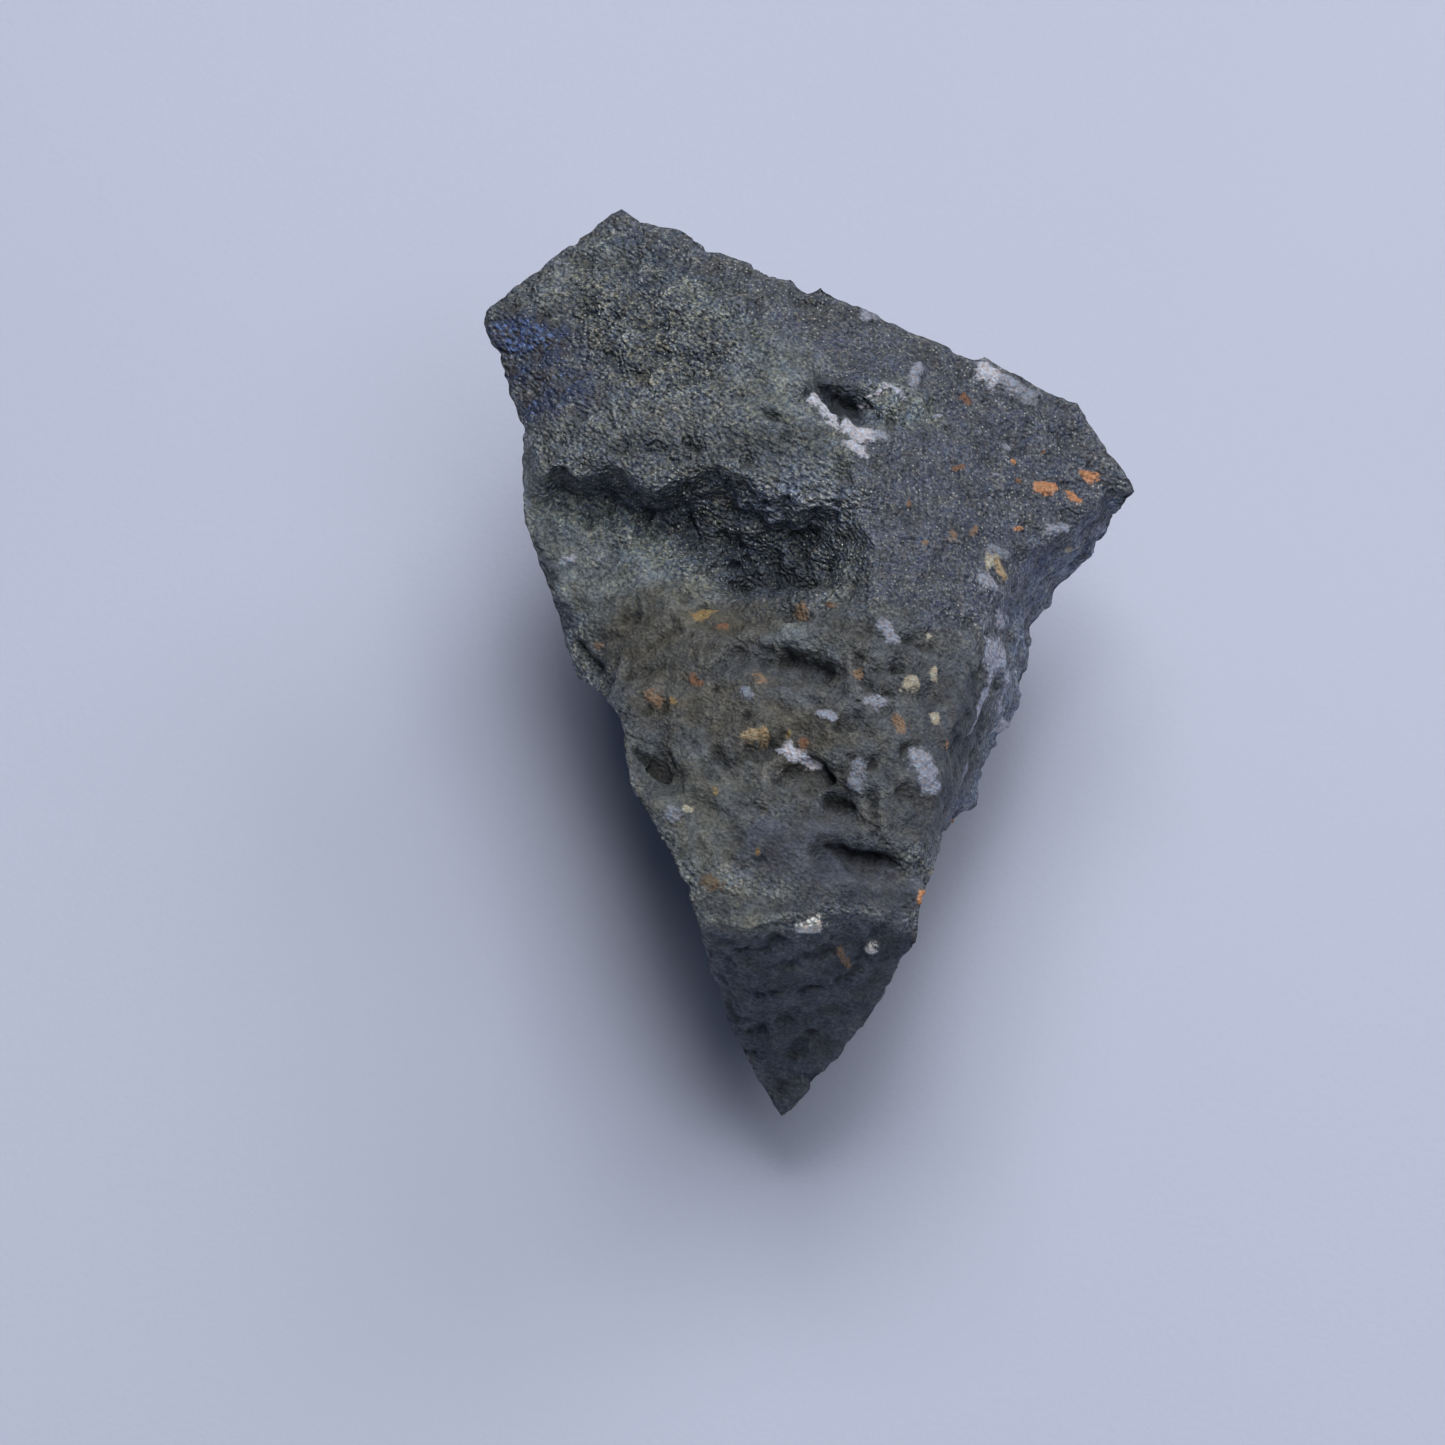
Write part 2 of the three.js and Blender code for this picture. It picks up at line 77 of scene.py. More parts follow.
STAIN_NEAR = [(-7, 4.7), (-2.1, 3.9), (1.5, 1.9), (-0.5, 0.6), (-2.9, 1.9), (-6.9, 2.7)]
RIGHT_FLANK = [(3.5, 1.1), (6, 5.9), (7.3, 5.9), (6.8, 1), (5.2, -2.6), (3.5, -2.5)]
OLIVE_CORNER = [(-7.3, 1.9), (-2.1, -0.1), (-2.9, -2.9), (-4.5, -3.7), (-6.9, -0.6)]
PURPLE_BAND = [(-3.1, -1.1), (0.7, -1.4), (4.7, -3.8), (3.7, -5.5), (-1.7, -3.9), (-3.3, -2.9)]
PALE_PATCH = [(-4.9, -3.8), (-1.5, -4.1), (-1.1, -5.1), (-1.7, -5.9), (-4.5, -6)]
NEAR_FACET = [
    (-6.1, -6), (-0.9, -5.9), (1.5, -5.3), (4.9, -5.6), (5.5, -7), (0.5, -15), (-2.5, -15),
    (-5.3, -8.5),
]
RIGHT_WALL = [
    (14.1, 12.6), (9.5, 9.3), (7.8, 7.2), (8.2, 6), (7.8, 3.5), (7.3, 1), (5.6, -1.5), (6.2, -3),
    (10.1, 1), (11.9, 7.6), (14.9, 10.9),
]
PALE_BAND = [
    (-9.2, 22.5), (-7.8, 22.9), (-5.9, 22.4), (-3.9, 21.5), (-2, 20.1), (-0.8, 18.8), (-1.4, 17.8),
    (-3, 18.4), (-4.9, 19.8), (-6.6, 20.9), (-8.4, 21.5),
]
DARK_BAND = [
    (-9.2, 21.3), (-6.8, 20.5), (-4.5, 19), (-3.2, 18.1), (-3.9, 16.6), (-6.4, 16.2), (-8.5, 17),
    (-9.3, 18.8),
]
TERRACE_GLINTS = [
    (-10.9, 12.6), (-8.7, 12.2), (-6.6, 11.1), (-4.5, 9.1), (-4, 8), (-4.9, 8), (-6.2, 9.3),
    (-8.2, 10.3), (-10.5, 10.7),
]
LEFT_EDGE = [
    (-12.8, 10.7), (-11.5, 10.7), (-11, 9.5), (-10.4, 8.2), (-9.9, 7.3), (-9.6, 6.5), (-10.4, 5.9),
    (-11.9, 7.6), (-12.8, 9.3),
]
HOLLOW_BROW = [
    (-8.6, 14.3), (-4.5, 14.5), (-1.7, 14.8), (0.4, 14.5), (0.5, 13.4), (-1.7, 13.2), (-4.5, 13.2),
    (-7, 12.9), (-8.6, 13.3),
]
HOLLOW_CORE = [
    (-7.1, 11.9), (-5.7, 12), (-4.3, 10.9), (-2.5, 9.6), (-1.9, 8.4), (-3.4, 8.4), (-5.1, 9.8),
]
HOLLOW_TAIL = [(-3.6, 9.4), (-0.4, 9.2), (0.1, 8), (-1.7, 7.3), (-3.3, 7.6)]
HOLLOW_FLOOR = [(-2.9, 12), (-0.4, 12.6), (1.6, 12.2), (1.7, 10.8), (-0.4, 10.5), (-2.6, 10.9)]
LEFT_FLANK = [(-8.4, 3.9), (-7.4, 3.5), (-6.7, 2), (-6.4, 0.3), (-7.2, 0.1), (-8.2, 2)]
FAR_LEFT_RIM = [
    (-13.7, 20.1), (-12.8, 21.3), (-10.3, 23.2), (-8.2, 24), (-7.7, 23.6), (-10.3, 22.1), (-12.4, 20.5),
    (-13.2, 19.4),
]
LIP = [(2.4, 16.4), (3.1, 16.8), (4, 16.6), (5.2, 15.9), (5.2, 14.7), (3.7, 14.6), (2.6, 15)]
FACET_EDGE = [
    (-4.9, -4.8), (-2.9, -4.6), (1.5, -4.2), (5.4, -4.1), (5.5, -4.8), (1.5, -4.8), (-2.9, -5.3),
    (-4.5, -5.4),
]
PALE_SPOT = [(-1.7, 6.2), (-0.5, 6.4), (1, 5.9), (1.4, 5.3), (0.3, 5.2), (-0.9, 5.5), (-1.8, 5.6)]
TARNISH_LEFT = [(-14.2, 19.9), (-9.7, 19.1), (-8.7, 15.9), (-10.3, 15), (-13.3, 15.1), (-14.2, 18.6)]
TARNISH_FLASH = [
    (-12.9, 19.2), (-10.8, 19.3), (-10.7, 18.5), (-11.6, 17.9), (-12.3, 17.8), (-12.8, 18.2),
]
TARNISH_FAR = [(-9.2, 24.4), (-5, 23.5), (-3.7, 21.4), (-6.2, 20.1), (-7.9, 21.4)]

# Colours of the ore as they look in even light, and some that paint shade or light into it, as noted.
ORE_OLIVE = "#6d7174"
ORE_BLUE = "#545862"
# Painted shade, deepest in the hollow.
PAINTED_HOLLOW_SHADE = "#39414d"
ORE_BROWN = "#545658"
ORE_STAIN = "#5e594c"
ORE_PURPLE = "#4c4f59"
ORE_FLANK = "#52555b"
# Pale ore, and painted light on the notch's lip and in the terrace's band of glints.
PALE_ORE_AND_PAINTED_LIGHT = "#787f80"
ORE_SAGE = "#5e605d"
# Painted shade, laid under the hollow's brow, along the left edge and flank and along the near facet's
# edge.
ORE_SHADOW = "#3f444d"
ORE_SAGE_PALE = "#6d6f6b"
# Painted shade on the near facet.
PAINTED_FACET_SHADE = "#4e535c"
ORE_GRAINY = "#6b6f73"
# Partly the hollow's darker ore, partly painted shade.
ORE_HOLLOW = "#61666c"
# Lighter, partly for its quartz and partly as painted light on the right wall.
ORE_WALL = "#78808f"
# Painted shade in the notch.
PAINTED_NOTCH_SHADE = "#2b3037"
QUARTZ_WHITE = "#c2c5d2"
QUARTZ_BRIGHT = "#f2f0ea"
QUARTZ_GREY = "#9298a8"
# Dull quartz in spots, and painted light on the hollow's floor.
DULL_QUARTZ_AND_PAINTED_LIGHT = "#7d8492"
QUARTZ_CREAM = "#aba696"
QUARTZ_VEIN = "#a9b0c2"
OCHRE = "#8d7950"
OCHRE_DARK = "#665a4a"
RUST = "#c08a63"
RUST_PALE = "#a08f72"
RUST_DULL = "#86705c"
RUST_BROWN = "#7a5b46"

# Each area: outline, colour, half width of its soft border, share of its values, grain, glitter and
# roughness. A later area lies over the earlier ones. Some paint shade or light into the colour, as noted.
AREAS = [
    (PALE_BAND, PALE_ORE_AND_PAINTED_LIGHT, 0.8, 0.8, 0.8, 0.9, 0.5),
    (DARK_BAND, ORE_GRAINY, 1, 1, 1, 1, 0.6),
    (LOBE, ORE_BLUE, 1.3, 1, 0.45, 0.85, 0.4),
    (FAR_STRIP, ORE_BROWN, 0.8, 0.6, 0.6, 0.9, 0.5),
    (CREST, PALE_ORE_AND_PAINTED_LIGHT, 1.2, 0.7, 0.4, 0.4, 0.5),
    (TERRACE, PALE_ORE_AND_PAINTED_LIGHT, 0.8, 0.75, 0.2, 0.3, 0.4),
    # A band of painted glints over pale ore.
    (TERRACE_GLINTS, PALE_ORE_AND_PAINTED_LIGHT, 0.7, 0.8, 0.8, 1, 0.6),
    (PLATEAU, ORE_BROWN, 1, 0.9, 0.25, 0.15, 1),
    (STAIN_FAR, ORE_STAIN, 1, 0.6, 0.25, 0.15, 0.7),
    (STAIN_NEAR, ORE_STAIN, 1, 0.6, 0.25, 0.15, 0.9),
    (PALE_SPOT, PALE_ORE_AND_PAINTED_LIGHT, 0.5, 0.6, 0.3, 0.15, 0.6),
    (RIGHT_FLANK, ORE_FLANK, 0.8, 0.8, 0.2, 0.15, 0.5),
    (OLIVE_CORNER, ORE_SAGE, 0.9, 0.8, 0.15, 0.05, 0.4),
    (PURPLE_BAND, ORE_PURPLE, 0.8, 0.9, 0.12, 0.05, 0.3),
    (PALE_PATCH, ORE_SAGE_PALE, 0.6, 0.8, 0.15, 0.05, 0.3),
    # Partly quartz-rich ore, partly painted light on the right wall.
    (RIGHT_WALL, ORE_WALL, 0.5, 0.8, 0.25, 0.6, 0.5),
    # Partly darker ore, partly painted shade in the hollow.
    (HOLLOW, ORE_HOLLOW, 0.8, 0.9, 0.75, 1, 1.1),
    # Painted shade under the hollow's brow.
    (HOLLOW_BROW, ORE_SHADOW, 0.6, 0.6, 0.7, 0.7, 0.8),
    # Painted shade in the hollow's core and tail.
    (HOLLOW_CORE, PAINTED_HOLLOW_SHADE, 0.6, 0.5, 0.7, 0.9, 1.2),
    (HOLLOW_TAIL, PAINTED_HOLLOW_SHADE, 0.6, 0.6, 0.6, 0.6, 1.5),
    # Painted light on the hollow's floor.
    (HOLLOW_FLOOR, DULL_QUARTZ_AND_PAINTED_LIGHT, 0.6, 0.8, 0.7, 0.9, 1.5),
    # Painted shade in the notch.
    (NOTCH, PAINTED_NOTCH_SHADE, 0.4, 0.95, 0.4, 0.2, 1.2),
    # Painted light on the lip beside the notch.
    (LIP, PALE_ORE_AND_PAINTED_LIGHT, 0.5, 0.8, 0.6, 0.8, 0.8),
    # Painted shade along the left edge and on the left flank.
    (LEFT_EDGE, ORE_SHADOW, 0.2, 0.9, 0.4, 0.3, 0.5),
    (LEFT_FLANK, ORE_SHADOW, 0.7, 0.5, 0.3, 0.2, 0.8),
    (FAR_LEFT_RIM, ORE_FLANK, 0.5, 0.6, 0.6, 0.7, 0.5),
    # Painted shade along the near facet's upper edge.
    (FACET_EDGE, ORE_SHADOW, 0.4, 0.7, 0.25, 0.1, 0.3),
    # Painted shade on the near facet, which faces away from the light.
    (NEAR_FACET, PAINTED_FACET_SHADE, 0.4, 0.9, 0.2, 0.1, 0.6),
]

# Cracks, pits and bumps of the upper shell: the line each lies along, its half width, and its depth, below
# zero for a bump. The cracks get painted shade.
DENTS = [
    ((0.6, -2.5), (1.5, -2.8), 0.35, 0.5),
    ((1.5, -2.8), (3.3, -3.2), 0.4, 0.6),
    ((-1.9, 4.9), (-1, 5), 0.35, 0.35),
    ((-0.8, 5), (0.6, 4.6), 0.55, 0.6),
    ((-0.1, 0.9), (0.6, 0.2), 0.5, 0.6),
    ((0.6, -0.7), (1.5, -0.9), 0.5, 0.6),
    ((-7.1, 1.4), (-5.9, 0.3), 0.4, 0.6),
    ((-9.6, 5.7), (-9, 4.8), 0.5, 0.6),
    ((-9, 4.8), (-8.2, 4), 0.55, 0.6),
    ((2.9, 16.1), (4.2, 15.8), 1.1, -0.6),
    ((2.5, 15.5), (3.4, 15.3), 0.8, -0.8),
    ((-0.5, 20.3), (0.4, 20.1), 0.6, -0.32),
    ((-0.3, -5.5), (0.1, -5.5), 0.5, -0.2),
    ((2.4, -6.3), (2.5, -6.3), 0.38, -0.2),
    ((-0.2, -12), (1.8, -11.2), 0.5, -0.2),
    ((-3.1, -6.6), (-1.9, -6.6), 0.3, 0.2),
    ((2.4, 15.4), (3.3, 15), 0.28, 0.4),
    ((-5.1, 14.2), (-4.7, 13.9), 0.35, 0.5),
    ((-1.7, 15.2), (-1, 14.9), 0.3, 0.4),
    ((-10.3, 13), (-9.7, 12.5), 0.4, 0.4),
]

# Spots of other minerals on the upper shell: the line each lies along, its radius and its colour.
SPOTS = [
    ((7.3, 17.1), (7.7, 16.9), 0.58, QUARTZ_WHITE),
    ((8, 16.7), (8.6, 16.4), 0.5, QUARTZ_GREY),
    ((8.7, 16.2), (9.2, 16), 0.4, DULL_QUARTZ_AND_PAINTED_LIGHT),
    ((0.2, 15.8), (1.1, 14.9), 0.35, QUARTZ_WHITE),
    ((1.6, 14.6), (2.3, 14.3), 0.6, QUARTZ_WHITE),
    ((1.7, 13.9), (2, 13.7), 0.4, QUARTZ_WHITE),
    ((2.6, 14.3), (3, 14.2), 0.36, QUARTZ_GREY),
    ((2.3, 15.7), (3, 16.2), 0.32, QUARTZ_WHITE),
    ((3.2, 16.2), (3.7, 16), 0.18, QUARTZ_WHITE),
    ((4.5, 17.4), (4.3, 16.6), 0.29, QUARTZ_GREY),
    ((4.4, 1.1), (4.8, 0), 0.6, QUARTZ_GREY),
    ((2, 0.9), (1.7, 0.1), 0.4, DULL_QUARTZ_AND_PAINTED_LIGHT),
    ((-1, 1.4), (0, 0.9), 0.32, QUARTZ_WHITE),
    ((0.3, 2.9), (0.8, 2.7), 0.28, QUARTZ_GREY),
    ((-2.7, 3.9), (-2.5, 3.7), 0.28, DULL_QUARTZ_AND_PAINTED_LIGHT),
    ((-0.3, -5.5), (0.1, -5.5), 0.48, QUARTZ_BRIGHT),
    ((2.4, -6.3), (2.5, -6.3), 0.32, QUARTZ_BRIGHT),
    ((3.3, 6), (2.9, 6.6), 0.3, QUARTZ_GREY),
    ((7.2, 5.5), (7.8, 5.2), 0.8, QUARTZ_VEIN),
    ((7.3, 5.1), (7.1, 3.9), 0.55, QUARTZ_VEIN),
    ((7, 3.8), (6.5, 2.3), 0.45, QUARTZ_VEIN),
    ((8, 4.4), (8.1, 3.9), 0.42, QUARTZ_VEIN),
    ((7.8, 3.4), (7.8, 3.1), 0.42, QUARTZ_VEIN),
    ((7.7, 2.4), (8.1, 2.4), 0.36, QUARTZ_WHITE),
    ((7.7, 6.8), (7.9, 6.6), 0.38, QUARTZ_VEIN),
    ((6.4, 0.9), (6.3, 0.3), 0.33, QUARTZ_GREY),
    ((-10.1, 9.3), (-9.8, 9.3), 0.22, QUARTZ_VEIN),
    ((-6.1, -1), (-5.6, -1.2), 0.4, DULL_QUARTZ_AND_PAINTED_LIGHT),
    ((-5.1, -0.8), (-4.9, -0.8), 0.2, QUARTZ_CREAM),
    ((9.9, 10.5), (10.6, 10.5), 0.3, QUARTZ_GREY),
    ((10.7, 9.7), (11.1, 9.8), 0.2, QUARTZ_CREAM),
    ((7.4, 9.6), (8.1, 9.5), 0.25, DULL_QUARTZ_AND_PAINTED_LIGHT),
    ((7.3, 9.3), (7.3, 8.9), 0.3, QUARTZ_CREAM),
    ((7.6, 9.1), (7.8, 8.7), 0.3, RUST_PALE),
    ((7.1, 8.4), (7.4, 8.1), 0.36, QUARTZ_GREY),
    ((4, 4.1), (4.1, 4.1), 0.42, QUARTZ_CREAM),
    ((4.9, 2.8), (5, 2.7), 0.3, QUARTZ_CREAM),
    ((2.4, 3.5), (2.8, 3.4), 0.38, QUARTZ_GREY),
    ((4.9, 4.7), (4.9, 4.5), 0.22, QUARTZ_CREAM),
    ((4.9, 6.1), (4.9, 6.1), 0.17, QUARTZ_CREAM),
    ((9.5, 12.2), (10.1, 12.3), 0.34, RUST),
    ((10.9, 12), (11.1, 11.8), 0.32, RUST),
    ((11.5, 12.8), (11.7, 12.7), 0.36, RUST),
    ((6.5, 16), (6.6, 15.9), 0.27, RUST_BROWN),
    ((8.4, 13.3), (8.4, 13.3), 0.2, RUST),
    ((8.6, 12.6), (8.7, 12.6), 0.16, RUST_BROWN),
    ((5.8, 12.9), (6.3, 13), 0.16, RUST_BROWN),
    ((4, 11.4), (4, 11.5), 0.17, RUST_BROWN),
    ((5.8, 10.3), (5.8, 10.1), 0.22, RUST_DULL),
    ((6.5, 10.3), (6.7, 10.4), 0.2, RUST_DULL),
    ((8.6, 10.5), (8.6, 10.6), 0.2, RUST),
    ((4.6, 9.9), (4.6, 9.8), 0.17, RUST_DULL),
    ((9.6, 13.7), (9.7, 13.7), 0.14, RUST_BROWN),
    ((-6.5, 3.7), (-6.2, 3.5), 0.32, RUST_DULL),
    ((-2.5, 2.1), (-2, 2), 0.37, RUST_PALE),
    ((0.7, 7.3), (0.9, 7.3), 0.24, RUST_BROWN),
    ((5.5, 1.7), (5.5, 1.5), 0.21, RUST),
    ((-8.7, 5.7), (-8.6, 5.7), 0.2, RUST_DULL),
    ((1, -6.5), (1.5, -7.2), 0.2, RUST_DULL),
    ((4.5, -4.3), (4.4, -4.6), 0.21, RUST),
    ((-4.5, 6.9), (-4.2, 7), 0.4, OCHRE),
    ((-4.9, 4.3), (-4.7, 4.2), 0.26, RUST_BROWN),
    ((-0.5, 7.2), (-0.3, 7.1), 0.34, RUST_DULL),
    ((-3.7, 6.5), (-3.5, 6.5), 0.28, RUST_BROWN),
    ((-2.1, 4.4), (-2, 4.3), 0.27, RUST_DULL),
    ((1.9, 4.7), (2, 4.6), 0.25, RUST_DULL),
    ((-0.4, 1.7), (-0.2, 1.7), 0.25, RUST_BROWN),
    ((-1, 2.1), (-0.9, 2.1), 0.18, OCHRE),
    ((-5.6, 3.5), (-5.5, 3.4), 0.18, OCHRE),
    ((-3.9, -0.2), (-3.8, -0.3), 0.2, OCHRE),
    ((-2.2, -2.6), (-2.1, -2.6), 0.18, OCHRE),
    ((-4.2, -3.8), (-3.9, -3.9), 0.4, OCHRE_DARK),
    ((3.3, 2.8), (3.5, 2.3), 0.26, RUST_DULL),
    ((5.2, 15.3), (5.3, 15.3), 0.18, QUARTZ_GREY),
    ((8.1, 13.9), (8.2, 13.9), 0.17, QUARTZ_GREY),
    ((7.6, 12.8), (7.7, 12.8), 0.15, QUARTZ_GREY),
]

# The mesh of the stone. Lengths are in millimetres.
FINE_SPACING = 0.215        # longest side of a triangle on the upper shell
COARSE_SPACING = 0.52       # and on the under shell
REFINE_ROUNDS = 8
SMOOTH_SHARE = 0.5          # how far one round moves a point towards the mean of its neighbours
FACET_ROUNDS = 9            # rounds of smoothing for the facets
SHARP_FOLDS = (0.03, 0.2)   # a fold begins to count as a sharp edge, and fully does
EDGE_KEPT = 0.65            # how much of a sharp edge stays through the smoothing
UNDERSIDE_HEIGHTS = (6.5, 4)        # between these heights the folds of the underside begin to be worn away
UNDERSIDE_START = (-13, -11)        # and between these places along the stone, behind its tip
UNDERSIDE_ROUNDS = 60
EDGE_ROUNDS = 10            # over how wide a strip the relief is lower beside a sharp edge
EDGE_STRIP_GAIN = 3         # makes the middle of that strip as strong as the edge itself
PAINTED_SHADE_ROUNDS = 14          # over how wide a neighbourhood the painted shade of hollows reaches
PAINTED_SHADE_PER_MM = 2.5      # painted shade per millimetre of depth
PAINTED_SHADE_AND_LIGHT_TONES = (0.5, 1.35)  # painted shade in the deepest hollow, and painted light on the highest bump
GROUND_EPSILON = 0.002      # points lower than this lie on the floor, and stay

# Fractal fields on the stone. Each has the size of its lumps in millimetres, its octaves, and a shift that
# sets it apart from the others.
FRACTAL_DIMENSION = 1
FRACTAL_LACUNARITY = 2
COLOUR_PATCHES = (4.5, 3, 40)
RAGGED_X = (1.3, 3, 0)
RAGGED_Y = (1.3, 3, 9)
SPOT_RAGGED = [(0.7, 2, 50), (0.7, 2, 60), (0.7, 2, 70)]
SWELLS = (2.6, 2, 0)
LUMPS = (0.8, 3, 5)
PITS = (1.3, 3, 31)
TEETH = (0.5, 3, 17)
FLAKES = (1.5, 2, 23)
WAVERS = (0.8, 3, 3)

# The relief. Heights, depths and the chips' width are in millimetres.
SWELL_HEIGHT = 0.1
SWELL_LOSS = 0.5            # share that is missing beside a sharp edge
CHIP_SIZE = 1.2
CHIP_HEIGHT = 0.2
CHIP_TILT_SCALE = 7.3       # makes the tilts of neighbouring chips independent
CHIP_SEED = 5               # without it the tilts differ in each run
LUMP_HEIGHT = 0.2
PIT_DEPTH = 0.35
PIT_RANGE = (0.15, 0.5)     # the field's values where a pit begins, and where it is deepest
TOOTH_HEIGHT = 0.06
ROUGH_LOSS = 0.85           # share of the chips, lumps and pits that is missing beside a sharp edge
FLAKE_DEPTH = 0.1
FLAKE_STRETCH = np.array([1, 1, 2.2])       # makes the right wall's flakes wider than they are high
FLAKE_GAIN = 3
SPOT_HEIGHT = 0.08
SPOT_RISE = (-0.1, 0.5)     # a spot's strength where it begins to stand proud, and where it fully does
DENT_WAVER = 0.2            # how far a crack's edge wanders
DENT_FLOOR = -0.5           # where a crack is deepest, in half widths inside its line
PAINTED_CRACK_SHADE = 0.6        # painted shade in the middle of a crack
GROUND_FADE = 0.6           # height over which the relief fades out above the floor

# How the areas' values spread over the points. Borders and raggedness are in millimetres.
UPPER_BLEND = 0.1           # the shells' values blend while the normals turn this far through the rim
PATCH_CONTRAST = 0.25       # of the upper shell's colour patches
UNDER_COLOUR_RANGE = (-0.4, 0.5)
UNDER_GRAIN, UPPER_GRAIN_GAIN = 0.6, 0.05
UNDER_GLITTER, UPPER_GLITTER_GAIN = 0.4, 0.4
UPPER_ROUGH_LOSS = 0.5
AREA_RAGGEDNESS = 0.5
TARNISH_BORDER = 0.8
FAR_TARNISH = 0.55          # how strong the tarnish of the far corner is
FLASH_RAGGEDNESS = 0.4
FLASH_BORDER = 0.3
WALL_BORDER = 0.3
SPOT_RAGGEDNESS = 0.14

# The spots of the under shell, in millimetres.
SPOT_SEED = 5
SPOT_COUNT = 60
SPOT_REACH = 0.5            # how far a spot's line may run along each axis
SPOT_RADII = (0.15, 0.4)
SPOT_COLOURS = [QUARTZ_WHITE, QUARTZ_GREY, QUARTZ_GREY, QUARTZ_CREAM, RUST, RUST_BROWN]

# Noises of the ore's material: lumps per millimetre, detail and roughness.
ROWS = (6.2, 2, 0.6)
SPECKS = (5.5, 3, 0.6)
FINE_GRAIN = (8, 4, 0.65)
BLOTCHES = (0.9, 4, 0.6)
HUE_PATCHES = (1.1, 3, 0.5)
FILM = (1.6, 4, 0.6)
FILM_HUES = (1.3, 3, 0.5)
SPOT_EDGES = (2.8, 5, 0.7)
BUMP_LUMPS = (2, 3, 0.6)
CELL_SCALE = 6
CELL_SMOOTHNESS = 0.3
SPARK_SCALE = 8.5
RIPPLE_ANGLE = math.radians(34)     # the grains lie in short ripples, from the far left to the near right
RIPPLE_STRETCH = (0.65, 1, 1)

# Tones and hues that the ore's colour is multiplied by, and colours that lie over it, in linear light.
NOISE_RANGE = (0.3, 0.7)            # nearly all values of a noise lie between these
ROW_GRAINS = (0.45, 0.85)           # grain where the rows begin to show, and where only they do
# The grains' sides differ partly in their own tone and partly by painted light and shade.
LIGHT_SIDES = (0.36, 0.66)          # ripple values of the grains' dark and light sides
DARK_SIDE_TONE, LIGHT_SIDE_GAIN = 0.38, 1.25
FINE_CONTRAST, GLITTER_CONTRAST = 0.2, 0.5
BLOTCH_TONES = (0.72, 1.28)
DARK_SIDE_HUE = (0.87, 0.97, 1.18, 1)
LIGHT_SIDE_HUE = (1.1, 1.04, 0.84, 1)
FLECK_HUES = (0.62, 0.72, 0.92, 1), (1.38, 1.28, 1.08, 1)
HUE_RANGE = (0.38, 0.62)
PATCH_HUES = (0.96, 1, 1.07, 1), (1.04, 1, 0.94, 1)
FILM_RANGE = (0.36, 0.5, 0.3, 1)    # thin film to thick, and how strong the tarnish is there
FILM_HUE_RANGE = (0.42, 0.58)
FILM_DARK = (0.03, 0.047, 0.11, 1), (0.058, 0.052, 0.062, 1)
FILM_BRIGHT = (0.095, 0.17, 0.42, 1)
FILM_BRIGHT_RANGE = (0.68, 0.82)
FILM_BRIGHT_GAIN = 0.12             # how much more of it is bright where the film is strong
FILM_COVER = 0.8
# Painted glints: a pale colour, with more metal, on single grains.
SPARK_CHANCE = (0.78, 0.94)         # only grains with a higher number than these light up
SPARK_EDGE = (0.5, 0.25)
SPARK_GLITTER = (0.6, 1)
PAINTED_GLINT_COLOUR = (0.52, 0.54, 0.52, 1)
SPOT_EDGE_SWING = 2.4               # how ragged the spots' edges are
SPOT_EDGE = (0, 0.5)
SPOT_MOTTLES = (0.65, 1.26)
SPOT_PATCH_RANGE = (0.4, 0.6)
SPOT_PATCH_GREEN = (0.18, 0.88)     # gain and least value, which turn parts of a spot redder
SPOT_PATCH_BLUE = (0.3, 0.8)

# Bump in millimetres, gloss and metal.
CELL_BUMP = -0.28
RIPPLE_BUMP = 0.12
FINE_BUMP = 0.06
LUMP_BUMP = 0.2
METAL, SPARK_METAL_GAIN = 0.35, 0.4
GLOSS_RANGE = (0.35, 0.65, 0.6, 0.42)       # dark sides to light ones, and their roughness
MATT, GLITTER_GLOSS = 0.27, -0.3            # added to the roughness, and what full glitter takes off

# The set. Places and sizes are in metres.
FLOOR_SIZE = 3
FLOOR_COLOURS = (0.553, 0.587, 0.721, 1), (0.538, 0.573, 0.709, 1)
FLOOR_CLOUDS = (0.02, 2, 0.5)       # lumps per millimetre, detail and roughness
FLOOR_TOOTH = (3, 3, 0.5)
FLOOR_BUMP = 0.04                   # strength
FLOOR_ROUGHNESS = 0.9
FLOOR_SPECULAR = 0.2
WORLD_COLOUR = (0.75, 0.9, 1.25, 1)
WORLD_STRENGTH = 0.078
LIGHTS = [                          # name, place, size, and power in watts
    ("far right", (0.29, 0.29, 0.287), 0.3, 0.685),
    ("behind", (0, 0.187, 0.464), 0.3, 1.242),
    ("near right", (0.132, -0.132, 0.464), 0.3, 0.469),
    ("above", (0, 0, 0.5), 0.12, 0.344),
]
LIGHT_TARGET = (0, 0, 0.01)
LENS = 210                          # focal length and sensor width, in millimetres
SENSOR = 36
CLIP_START = 0.01
CAMERA_ELEVATION = PARTING_ELEVATION
CAMERA_DISTANCE = 0.35
CAMERA_TARGET = (-0.0036, -0.00181, 0.00825)    # in the middle of the picture, as in the photo


def to_linear(code):
    """The linear red, green and blue of a colour written as #rrggbb."""
    values = np.array([int(code[i:i + 2], 16) / 255 for i in (1, 3, 5)])
    return np.where(values <= 0.04045, values / 12.92, ((values + 0.055) / 1.055) ** 2.4)


def smoothstep(low, high, values):
    """0 at low, 1 at high, and smooth between them. low may be the larger."""
    share = np.clip((values - low) / (high - low), 0, 1)
    return share * share * (3 - 2 * share)


